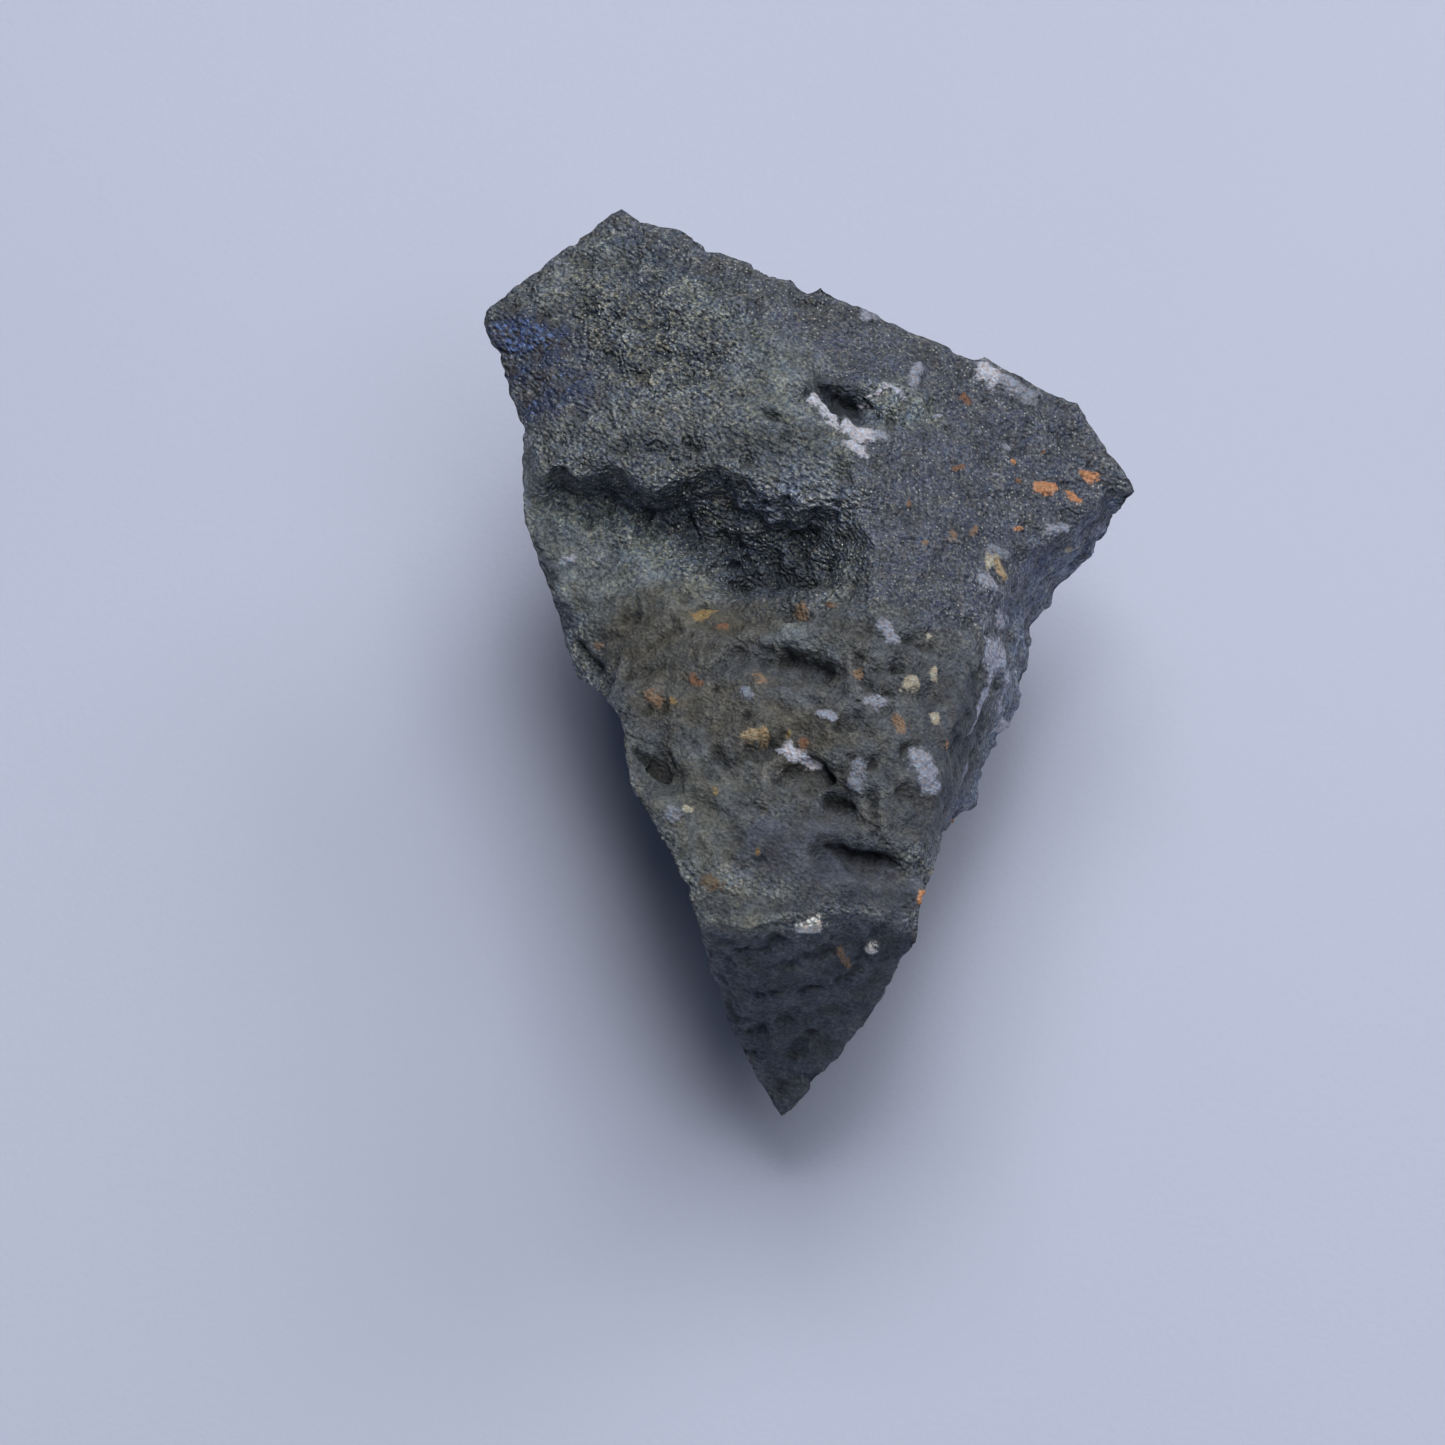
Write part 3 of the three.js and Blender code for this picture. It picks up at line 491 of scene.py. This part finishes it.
def read_solid(node):
    """Points of a CAD node in millimetres, and its triangles."""
    mesh = node.data
    points = np.empty(len(mesh.vertices) * 3, dtype=np.float32)
    mesh.vertices.foreach_get("co", points)
    mesh.calc_loop_triangles()
    corners = np.empty(len(mesh.loop_triangles) * 3, dtype=np.int32)
    mesh.loop_triangles.foreach_get("vertices", corners)
    points, joined = np.unique(points.reshape(-1, 3), axis=0, return_inverse=True)
    triangles = joined.reshape(-1)[corners].reshape(-1, 3)
    first, second, third = triangles.T
    whole = (first != second) & (second != third) & (third != first)
    return points.astype(float) / MM, triangles[whole]


def list_edges(triangles):
    """The edges as pairs of points, and for each triangle the edges of its three sides."""
    sides = np.stack([triangles, np.roll(triangles, -1, axis=1)], axis=2).reshape(-1, 2)
    sides.sort(axis=1)
    stride = triangles.max() + 1
    keys, index = np.unique(sides[:, 0] * stride + sides[:, 1], return_inverse=True)
    return np.stack([keys // stride, keys % stride], axis=1), index.reshape(-1, 3)


def face_normals(points, triangles):
    """Normals as long as twice each triangle's area."""
    first, second, third = points[triangles].transpose(1, 0, 2)
    return np.cross(second - first, third - first)


def unit(vectors):
    return vectors / np.maximum(np.linalg.norm(vectors, axis=1, keepdims=True), TINY_LENGTH)


def sum_at(index, vectors, count):
    return np.stack([np.bincount(index, column, count) for column in vectors.T], axis=1)


def point_normals(points, triangles):
    faces = np.repeat(face_normals(points, triangles), 3, axis=0)
    return unit(sum_at(triangles.reshape(-1), faces, len(points)))


def split_triangles(triangles, middles):
    """Splits triangles where a side has a middle point, which is below zero where it has none."""
    split = middles >= 0
    count = split.sum(axis=1)
    turn = np.where(count == 2, np.argmin(split, axis=1) + 1, np.argmax(split, axis=1))
    order = (np.arange(3) + turn[:, None]) % 3
    a, b, c = np.take_along_axis(triangles, order, 1).T
    ab, bc, ca = np.take_along_axis(middles, order, 1).T
    patterns = {
        0: [(a, b, c)],
        1: [(a, ab, c), (ab, b, c)],
        2: [(ab, b, bc), (a, ab, bc), (a, bc, c)],
        3: [(a, ab, ca), (ab, b, bc), (ca, bc, c), (ab, bc, ca)],
    }
    return np.vstack([
        np.stack(piece, axis=1)[count == n] for n, pieces in patterns.items() for piece in pieces
    ])


def refine(points, triangles):
    """Halves edges until none is longer than the spacing of its shell."""
    for _ in range(REFINE_ROUNDS):
        edges, sides = list_edges(triangles)
        upper = face_normals(points, triangles) @ PARTING_AXIS > 0
        fine = np.zeros(len(edges), dtype=bool)
        fine[sides[upper].reshape(-1)] = True
        start, end = points[edges].transpose(1, 0, 2)
        long = np.linalg.norm(end - start, axis=1) > np.where(fine, FINE_SPACING, COARSE_SPACING)
        if not long.any():
            break
        middles = np.full(len(edges), -1)
        middles[long] = len(points) + np.arange(long.sum())
        points = np.vstack([points, (start[long] + end[long]) / 2])
        triangles = split_triangles(triangles, middles[sides])
    return points, triangles


def edge_sharpness(points, triangles):
    """0 on flat ground, towards 1 at the points of a sharp edge."""
    edges, sides = list_edges(triangles)
    faces = np.repeat(unit(face_normals(points, triangles)), 3, axis=0)
    folded = 1 - np.linalg.norm(sum_at(sides.reshape(-1), faces, len(edges)), axis=1) / 2
    sharp = np.zeros(len(points))
    for end in edges.T:
        np.maximum.at(sharp, end, folded)
    return smoothstep(*SHARP_FOLDS, sharp)


def smooth(values, triangles, rounds):
    """Moves each point's values towards the mean of its neighbours."""
    edges, _ = list_edges(triangles)
    both = np.vstack([edges, edges[:, ::-1]])
    around = np.bincount(both[:, 0], minlength=len(values))[:, None]
    for _ in range(rounds):
        mean = sum_at(both[:, 0], values[both[:, 1]], len(values)) / around
        values = values + SMOOTH_SHARE * (mean - values)
    return values


def fractal(points, size, octaves, shift):
    """One of the fractal fields listed above, between about -1 and 1."""
    return np.array([
        noise.fractal(Vector(p), FRACTAL_DIMENSION, FRACTAL_LACUNARITY, octaves)
        for p in (points + shift) / size
    ])


def chips(points, size):
    """Heights of flat chips about this wide, each tilted its own way."""
    noise.seed_set(CHIP_SEED)
    heights = np.empty(len(points))
    for i, p in enumerate(points / size):
        centre = noise.voronoi(Vector(p))[1][0]
        tilt = noise.noise_vector(centre * CHIP_TILT_SCALE)
        heights[i] = tilt.dot(Vector(p) - centre)
    return heights * size


def flatten(points):
    """Points carried onto the plane of the outlines."""
    return np.stack([points[:, 0], points @ ACROSS_PARTING], axis=1)


def distance_to_line(points, start, end):
    along = end - start
    share = np.clip((points - start) @ along / max(along @ along, TINY_SQUARE), 0, 1)
    return np.linalg.norm(points - start - share[:, None] * along, axis=1)


def depth_inside(flat, outline):
    """How far each point lies inside a closed outline, below zero outside."""
    outline = np.array(outline, dtype=float)
    distance = np.full(len(flat), np.inf)
    inside = np.zeros(len(flat), dtype=bool)
    for start, end in zip(outline, np.roll(outline, -1, axis=0)):
        distance = np.minimum(distance, distance_to_line(flat, start, end))
        crosses = (start[1] > flat[:, 1]) != (end[1] > flat[:, 1])
        across, rise = end - start
        edge = start[0] + (flat[:, 1] - start[1]) * across / (rise or 1)
        inside ^= crosses & (flat[:, 0] < edge)
    return np.where(inside, distance, -distance)


class Looks:
    """What each point of the stone looks like: colours, grain, glitter, roughness, tarnish and spots."""

    def __init__(self, points, normals):
        flat = flatten(points)
        ragged = np.stack([fractal(points, *RAGGED_X), fractal(points, *RAGGED_Y)], axis=1)
        self.upper = smoothstep(-UPPER_BLEND, UPPER_BLEND, normals @ PARTING_AXIS)
        self.tint = self.mix_base_colour(points)
        self.grain = UNDER_GRAIN + UPPER_GRAIN_GAIN * self.upper
        self.glitter = UNDER_GLITTER + UPPER_GLITTER_GAIN * self.upper
        self.rough = 1 - UPPER_ROUGH_LOSS * self.upper
        for area in AREAS:
            self.lay_area(flat + AREA_RAGGEDNESS * ragged, *area)
        left = self.inside(flat + ragged, TARNISH_LEFT, TARNISH_BORDER)
        far = self.inside(flat + ragged, TARNISH_FAR, TARNISH_BORDER)
        flash = self.inside(flat + FLASH_RAGGEDNESS * ragged, TARNISH_FLASH, FLASH_BORDER)
        self.tarnish = self.upper * np.maximum(left, FAR_TARNISH * far)
        self.tarnish += self.upper * flash
        self.wall = self.upper * self.inside(flat, RIGHT_WALL, WALL_BORDER)
        self.shell = points[self.upper > 0.5]
        spots = [(self.stand(start), self.stand(end), *rest) for start, end, *rest in SPOTS]
        self.add_spots(points, spots + scatter_spots(points, self.upper))

    def mix_base_colour(self, points):
        patches = fractal(points, *COLOUR_PATCHES)[:, None]
        upper = to_linear(ORE_OLIVE) * (1 + PATCH_CONTRAST * patches)
        blue, brown = to_linear(ORE_BLUE), to_linear(ORE_BROWN)
        under = blue + (brown - blue) * smoothstep(*UNDER_COLOUR_RANGE, patches)
        return upper * self.upper[:, None] + under * (1 - self.upper[:, None])

    @staticmethod
    def inside(flat, outline, border):
        """1 well inside an outline, 0 well outside it."""
        return smoothstep(-border, border, depth_inside(flat, outline))

    def lay_area(self, flat, outline, colour, border, strength, grain, glitter, rough):
        share = strength * self.upper * self.inside(flat, outline, border)
        self.tint += share[:, None] * (to_linear(colour) - self.tint)
        self.grain += share * (grain - self.grain)
        self.glitter += share * (glitter - self.glitter)
        self.rough += share * (rough - self.rough)

    def stand(self, place):
        """The point of the upper shell at a place given as the outlines are."""
        return self.shell[np.linalg.norm(flatten(self.shell) - place, axis=1).argmin()]

    def add_spots(self, points, spots):
        """The strength of the nearest spot, 1 on its line and 0 at its radius, and that spot's colour."""
        ragged = np.stack([fractal(points, *field) for field in SPOT_RAGGED], axis=1)
        points = points + SPOT_RAGGEDNESS * ragged
        self.spot = np.full(len(points), -1.0)
        self.spot_tint = np.full((len(points), 3), 0.5)
        for start, end, radius, colour in spots:
            strength = 1 - distance_to_line(points, start, end) / radius
            nearest = strength > self.spot
            self.spot[nearest] = strength[nearest]
            self.spot_tint[nearest] = to_linear(colour)


def scatter_spots(points, upper):
    """Spots on the under shell, like those above."""
    random = np.random.default_rng(SPOT_SEED)
    places = points[upper < 0.5]
    spots = []
    for place in places[random.integers(len(places), size=SPOT_COUNT)]:
        end = place + random.uniform(-SPOT_REACH, SPOT_REACH, 3)
        colour = str(random.choice(SPOT_COLOURS))
        spots.append((place, end, random.uniform(*SPOT_RADII), colour))
    return spots


def dent_stone(points, looks):
    """Heights of the cracks, pits and bumps. It paints shade into the tint in the cracks."""
    waver = DENT_WAVER * fractal(points, *WAVERS)
    bumps = np.zeros(len(points))
    groove = np.zeros(len(points))
    shade = np.zeros(len(points))
    for start, end, width, depth in DENTS:
        distance = distance_to_line(points, looks.stand(start), looks.stand(end)) + waver
        inside = smoothstep(width, DENT_FLOOR * width, distance)
        if depth > 0:
            groove = np.maximum(groove, depth * inside)
            shade = np.maximum(shade, inside)
        else:
            bumps -= depth * inside
    # Painted shade in the cracks.
    looks.tint *= 1 - PAINTED_CRACK_SHADE * shade[:, None]
    return bumps - groove


def raise_relief(points, triangles, sharp, looks):
    """The stone's broken surface, raised along its normals."""
    near_edge = np.clip(EDGE_STRIP_GAIN * smooth(sharp[:, None], triangles, EDGE_ROUNDS)[:, 0], 0, 1)
    rough = looks.rough * (1 - ROUGH_LOSS * near_edge)
    height = (
        SWELL_HEIGHT * (1 - SWELL_LOSS * near_edge) * fractal(points, *SWELLS)
        + CHIP_HEIGHT * rough * chips(points, CHIP_SIZE)
        + LUMP_HEIGHT * rough * fractal(points, *LUMPS)
        - PIT_DEPTH * rough * smoothstep(*PIT_RANGE, fractal(points, *PITS))
        + TOOTH_HEIGHT * near_edge * fractal(points, *TEETH)
        - FLAKE_DEPTH * looks.wall * (1 - np.abs(fractal(FLAKE_STRETCH * points, *FLAKES)) * FLAKE_GAIN)
        + SPOT_HEIGHT * smoothstep(*SPOT_RISE, looks.spot)
        + dent_stone(points, looks)
    )
    height *= smoothstep(0, GROUND_FADE, points[:, 2])
    return points + height[:, None] * point_normals(points, triangles)


def make_mesh(name, points, triangles, looks):
    mesh = bpy.data.meshes.new(name)
    mesh.from_pydata((points * MM).tolist(), [], triangles.tolist())
    mesh.polygons.foreach_set("use_smooth", np.ones(len(triangles), dtype=bool))
    for label, values in [
        ("grain", looks.grain), ("glitter", looks.glitter), ("rough", looks.rough),
        ("tarnish", looks.tarnish), ("spot", looks.spot),
    ]:
        mesh.attributes.new(label, "FLOAT", "POINT").data.foreach_set("value", values.astype(np.float32))
    for label, colours in [("tint", looks.tint), ("spot_tint", looks.spot_tint)]:
        rgba = np.column_stack([colours, np.ones(len(colours))]).astype(np.float32)
        mesh.attributes.new(label, "FLOAT_COLOR", "POINT").data.foreach_set("color", rgba.reshape(-1))
    mesh.validate()
    mesh.update()
    return mesh


def round_folds(points, triangles, sharp):
    """Rounds the solid's facets and wears away the folds of its underside. Sharp edges mostly stay."""
    on_ground = points[:, 2] < GROUND_EPSILON
    rounded = smooth(points, triangles, FACET_ROUNDS)
    kept = EDGE_KEPT * sharp[:, None]
    points = np.where(on_ground[:, None], points, rounded + kept * (points - rounded))
    low = smoothstep(*UNDERSIDE_HEIGHTS, points[:, 2]) * smoothstep(*UNDERSIDE_START, points[:, 1])
    worn = smooth(points, triangles, UNDERSIDE_ROUNDS)
    return points + np.where(on_ground, 0, low)[:, None] * (worn - points)


# Painted shade and light: the tint is darker in hollows and lighter on bumps, by how deep each point lies
# below those around it.
def paint_shade_and_light_by_depth(points, triangles, looks):
    around = smooth(points, triangles, PAINTED_SHADE_ROUNDS)
    depth = ((around - points) * point_normals(points, triangles)).sum(axis=1)
    looks.tint *= np.clip(1 - PAINTED_SHADE_PER_MM * depth, *PAINTED_SHADE_AND_LIGHT_TONES)[:, None]


def make_stone():
    points, triangles = refine(*read_solid(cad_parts["specimen"]))
    on_ground = points[:, 2] < GROUND_EPSILON
    sharp = edge_sharpness(points, triangles)
    points = round_folds(points, triangles, sharp)
    looks = Looks(points, point_normals(points, triangles))
    raised = raise_relief(points, triangles, sharp, looks)
    points = np.where(on_ground[:, None], points, raised)
    points[:, 2] = np.maximum(points[:, 2], 0)
    paint_shade_and_light_by_depth(points, triangles, looks)
    stone = bpy.data.objects.new("stone", make_mesh("stone", points, triangles, looks))
    bpy.context.scene.collection.objects.link(stone)
    stone.data.materials.append(Ore().finish_ore())
    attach(stone, "root")
    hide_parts("specimen")


class Shading:
    """Short ways to add nodes to one material."""

    def __init__(self, name):
        self.material = bpy.data.materials.new(name)
        self.material.use_nodes = True
        self.tree = self.material.node_tree
        self.tree.nodes.clear()
        metres = self.add("TexCoord", {}).outputs["Object"]
        self.place = self.stretch(metres, (1 / MM,) * 3)

    def add(self, kind, inputs, **settings):
        node = self.tree.nodes.new("ShaderNode" + kind)
        for name, value in settings.items():
            setattr(node, name, value)
        for name, value in inputs.items():
            if isinstance(value, bpy.types.NodeSocket):
                self.tree.links.new(value, node.inputs[name])
            else:
                node.inputs[name].default_value = value
        return node

    def math(self, operation, *values, clamp=False):
        return self.add("Math", dict(enumerate(values)), operation=operation, use_clamp=clamp).outputs[0]

    def times(self, first, second, clamp=False):
        return self.math("MULTIPLY", first, second, clamp=clamp)

    def scaled(self, value, gain, start):
        """value * gain + start."""
        return self.math("MULTIPLY_ADD", value, gain, start)

    def stretch(self, vector, by):
        return self.add("VectorMath", {0: vector, 1: by}, operation="MULTIPLY").outputs[0]

    def mix(self, share, first, second, blend="MIX"):
        """first where share is 0, second where it is 1. Both are colours."""
        inputs = {"Factor": share, 6: first, 7: second}
        return self.add("Mix", inputs, data_type="RGBA", blend_type=blend).outputs[2]

    def tinted(self, colour, hue):
        return self.mix(1.0, colour, hue, "MULTIPLY")

    def rgb(self, *values):
        """A colour from its red, green and blue, or from one value for all three."""
        red, green, blue = values if len(values) == 3 else values * 3
        return self.add("CombineXYZ", {0: red, 1: green, 2: blue}).outputs[0]

    def between(self, value, low, high, start=0, end=1):
        """start where value is low, end where it is high."""
        inputs = {"Value": value, "From Min": low, "From Max": high, "To Min": start, "To Max": end}
        return self.add("MapRange", inputs, interpolation_type="SMOOTHSTEP").outputs[0]

    def noise(self, vector, scale, detail, roughness):
        inputs = {"Vector": vector, "Scale": scale, "Detail": detail, "Roughness": roughness}
        return self.add("TexNoise", inputs).outputs["Fac"]

    def attribute(self, name, output="Fac"):
        return self.add("Attribute", {}, attribute_name=name).outputs[output]

    def finish(self, shader):
        self.add("OutputMaterial", {"Surface": shader.outputs[0]})
        return self.material


class Ore(Shading):
    """The ore: rippled grains that glitter, under tarnish and spots of quartz and rust."""

    def __init__(self):
        super().__init__("ore")
        self.grain = self.attribute("grain")
        self.glitter = self.attribute("glitter")
        inputs = {"Vector": self.place, "Axis": (0, 0, 1), "Angle": RIPPLE_ANGLE}
        along = self.stretch(self.add("VectorRotate", inputs).outputs[0], RIPPLE_STRETCH)
        self.rows = self.noise(along, *ROWS)
        self.specks = self.noise(self.place, *SPECKS)
        in_rows = self.between(self.grain, *ROW_GRAINS)
        self.ripple = self.scaled(self.math("SUBTRACT", self.rows, self.specks), in_rows, self.specks)
        self.fine = self.noise(self.place, *FINE_GRAIN)
        cells = {"Vector": along, "Scale": CELL_SCALE, "Smoothness": CELL_SMOOTHNESS}
        self.cells = self.add("TexVoronoi", cells, feature="SMOOTH_F1").outputs["Distance"]
        sparks = self.add("TexVoronoi", {"Vector": self.place, "Scale": SPARK_SCALE})
        self.spark_distance = sparks.outputs["Distance"]
        self.chance = self.add("SeparateXYZ", {0: sparks.outputs["Color"]}).outputs

    def bare_colour(self):
        # Painted light and shade on the grains' sides, over their own differing tone.
        light_side = self.between(self.ripple, *LIGHT_SIDES)
        side_tone = self.scaled(light_side, LIGHT_SIDE_GAIN, DARK_SIDE_TONE)
        tone = self.math("ADD", self.times(self.math("SUBTRACT", side_tone, 1), self.grain), 1)
        fine_contrast = self.scaled(self.glitter, GLITTER_CONTRAST, FINE_CONTRAST)
        fine_tone = self.between(self.fine, *NOISE_RANGE, -1, 1)
        tone = self.times(tone, self.scaled(fine_tone, fine_contrast, 1))
        blotch = self.noise(self.place, *BLOTCHES)
        tone = self.times(tone, self.between(blotch, *NOISE_RANGE, *BLOTCH_TONES))
        hue_patch = self.between(self.noise(self.place, *HUE_PATCHES), *HUE_RANGE)
        colour = self.tinted(self.attribute("tint", "Color"), self.rgb(tone))
        colour = self.tinted(colour, self.mix(hue_patch, *PATCH_HUES))
        fleck = self.mix(self.chance[1], *FLECK_HUES)
        colour = self.mix(self.glitter, colour, self.tinted(colour, fleck))
        side_hue = self.mix(light_side, DARK_SIDE_HUE, LIGHT_SIDE_HUE)
        return self.mix(self.grain, colour, self.tinted(colour, side_hue))

    def tarnished(self, colour):
        """Deep blue and violet between the grains, with some bright blue ones."""
        strength = self.attribute("tarnish")
        film = self.between(self.noise(self.place, *FILM), *FILM_RANGE)
        cover = self.times(self.times(strength, film, clamp=True), FILM_COVER)
        hue = self.between(self.noise(self.place, *FILM_HUES), *FILM_HUE_RANGE)
        bright = self.between(self.scaled(strength, FILM_BRIGHT_GAIN, self.rows), *FILM_BRIGHT_RANGE)
        return self.mix(cover, colour, self.mix(bright, self.mix(hue, *FILM_DARK), FILM_BRIGHT))

    def sparks(self):
        """1 on single grains that get a painted glint, and with it more metal."""
        dot = self.between(self.spark_distance, *SPARK_EDGE)
        lit = self.times(self.between(self.chance[0], *SPARK_CHANCE), dot)
        return self.times(lit, self.between(self.glitter, *SPARK_GLITTER))

    def spots(self):
        """1 inside a spot of quartz or rust, with a ragged edge."""
        edge = self.scaled(self.noise(self.place, *SPOT_EDGES), SPOT_EDGE_SWING, -SPOT_EDGE_SWING / 2)
        return self.between(self.math("ADD", self.attribute("spot"), edge), *SPOT_EDGE)

    def spot_colour(self):
        mottle = self.between(self.fine, *NOISE_RANGE, *SPOT_MOTTLES)
        patch = self.between(self.specks, *SPOT_PATCH_RANGE)
        green = self.times(mottle, self.scaled(patch, *SPOT_PATCH_GREEN))
        blue = self.times(mottle, self.scaled(patch, *SPOT_PATCH_BLUE))
        return self.tinted(self.attribute("spot_tint", "Color"), self.rgb(mottle, green, blue))

    def bump(self):
        height = self.times(self.times(self.cells, self.grain), CELL_BUMP)
        height = self.scaled(self.times(self.ripple, self.grain), RIPPLE_BUMP, height)
        height = self.scaled(self.fine, FINE_BUMP, height)
        lumps = self.times(self.noise(self.place, *BUMP_LUMPS), self.attribute("rough"))
        height = self.scaled(lumps, LUMP_BUMP, height)
        return self.add("Bump", {"Strength": 1.0, "Distance": MM, "Height": height}).outputs[0]

    def finish_ore(self):
        spark, spot = self.sparks(), self.spots()
        # Painted glints on single grains.
        colour = self.mix(spark, self.tarnished(self.bare_colour()), PAINTED_GLINT_COLOUR)
        colour = self.mix(spot, colour, self.spot_colour())
        metal = self.times(self.math("SUBTRACT", 1, spot), self.scaled(spark, SPARK_METAL_GAIN, METAL))
        matt = self.scaled(self.glitter, GLITTER_GLOSS, MATT)
        roughness = self.math("ADD", self.between(self.ripple, *GLOSS_RANGE), matt)
        return self.finish(self.add("BsdfPrincipled", {
            "Base Color": colour, "Metallic": metal, "Roughness": roughness, "Normal": self.bump(),
        }))


def make_paper():
    paper = Shading("paper")
    cloud = paper.between(paper.noise(paper.place, *FLOOR_CLOUDS), *NOISE_RANGE)
    tooth = paper.noise(paper.place, *FLOOR_TOOTH)
    bump = paper.add("Bump", {"Strength": FLOOR_BUMP, "Distance": MM, "Height": tooth}).outputs[0]
    return paper.finish(paper.add("BsdfPrincipled", {
        "Base Color": paper.mix(cloud, *FLOOR_COLOURS), "Roughness": FLOOR_ROUGHNESS,
        "Specular IOR Level": FLOOR_SPECULAR, "Normal": bump,
    }))


def make_floor():
    mesh = bpy.data.meshes.new("floor")
    half = FLOOR_SIZE / 2
    corners = [(-half, -half, 0), (half, -half, 0), (half, half, 0), (-half, half, 0)]
    mesh.from_pydata(corners, [], [(0, 1, 2, 3)])
    floor = bpy.data.objects.new("floor", mesh)
    bpy.context.scene.collection.objects.link(floor)
    floor.data.materials.append(make_paper())


def aim(thing, target):
    direction = Vector(target) - thing.location
    thing.rotation_euler = direction.to_track_quat("-Z", "Y").to_euler()


def add_light(name, place, size, power):
    light = bpy.data.lights.new(name, "AREA")
    light.size, light.energy = size, power
    lamp = bpy.data.objects.new(name, light)
    bpy.context.scene.collection.objects.link(lamp)
    lamp.location = place
    aim(lamp, LIGHT_TARGET)


def light_scene():
    for light in LIGHTS:
        add_light(*light)
    world = bpy.data.worlds.new("studio")
    world.use_nodes = True
    background = world.node_tree.nodes["Background"]
    background.inputs["Color"].default_value = WORLD_COLOUR
    background.inputs["Strength"].default_value = WORLD_STRENGTH
    bpy.context.scene.world = world
    bpy.context.scene.view_settings.view_transform = "Standard"


def place_camera():
    data = bpy.data.cameras.new("camera")
    data.lens, data.sensor_width, data.clip_start = LENS, SENSOR, CLIP_START
    camera = bpy.data.objects.new("camera", data)
    bpy.context.scene.collection.objects.link(camera)
    back = Vector((0, -math.cos(CAMERA_ELEVATION), math.sin(CAMERA_ELEVATION)))
    camera.location = Vector(CAMERA_TARGET) + CAMERA_DISTANCE * back
    aim(camera, CAMERA_TARGET)
    bpy.context.scene.camera = camera


place_camera()
light_scene()
make_floor()
make_stone()
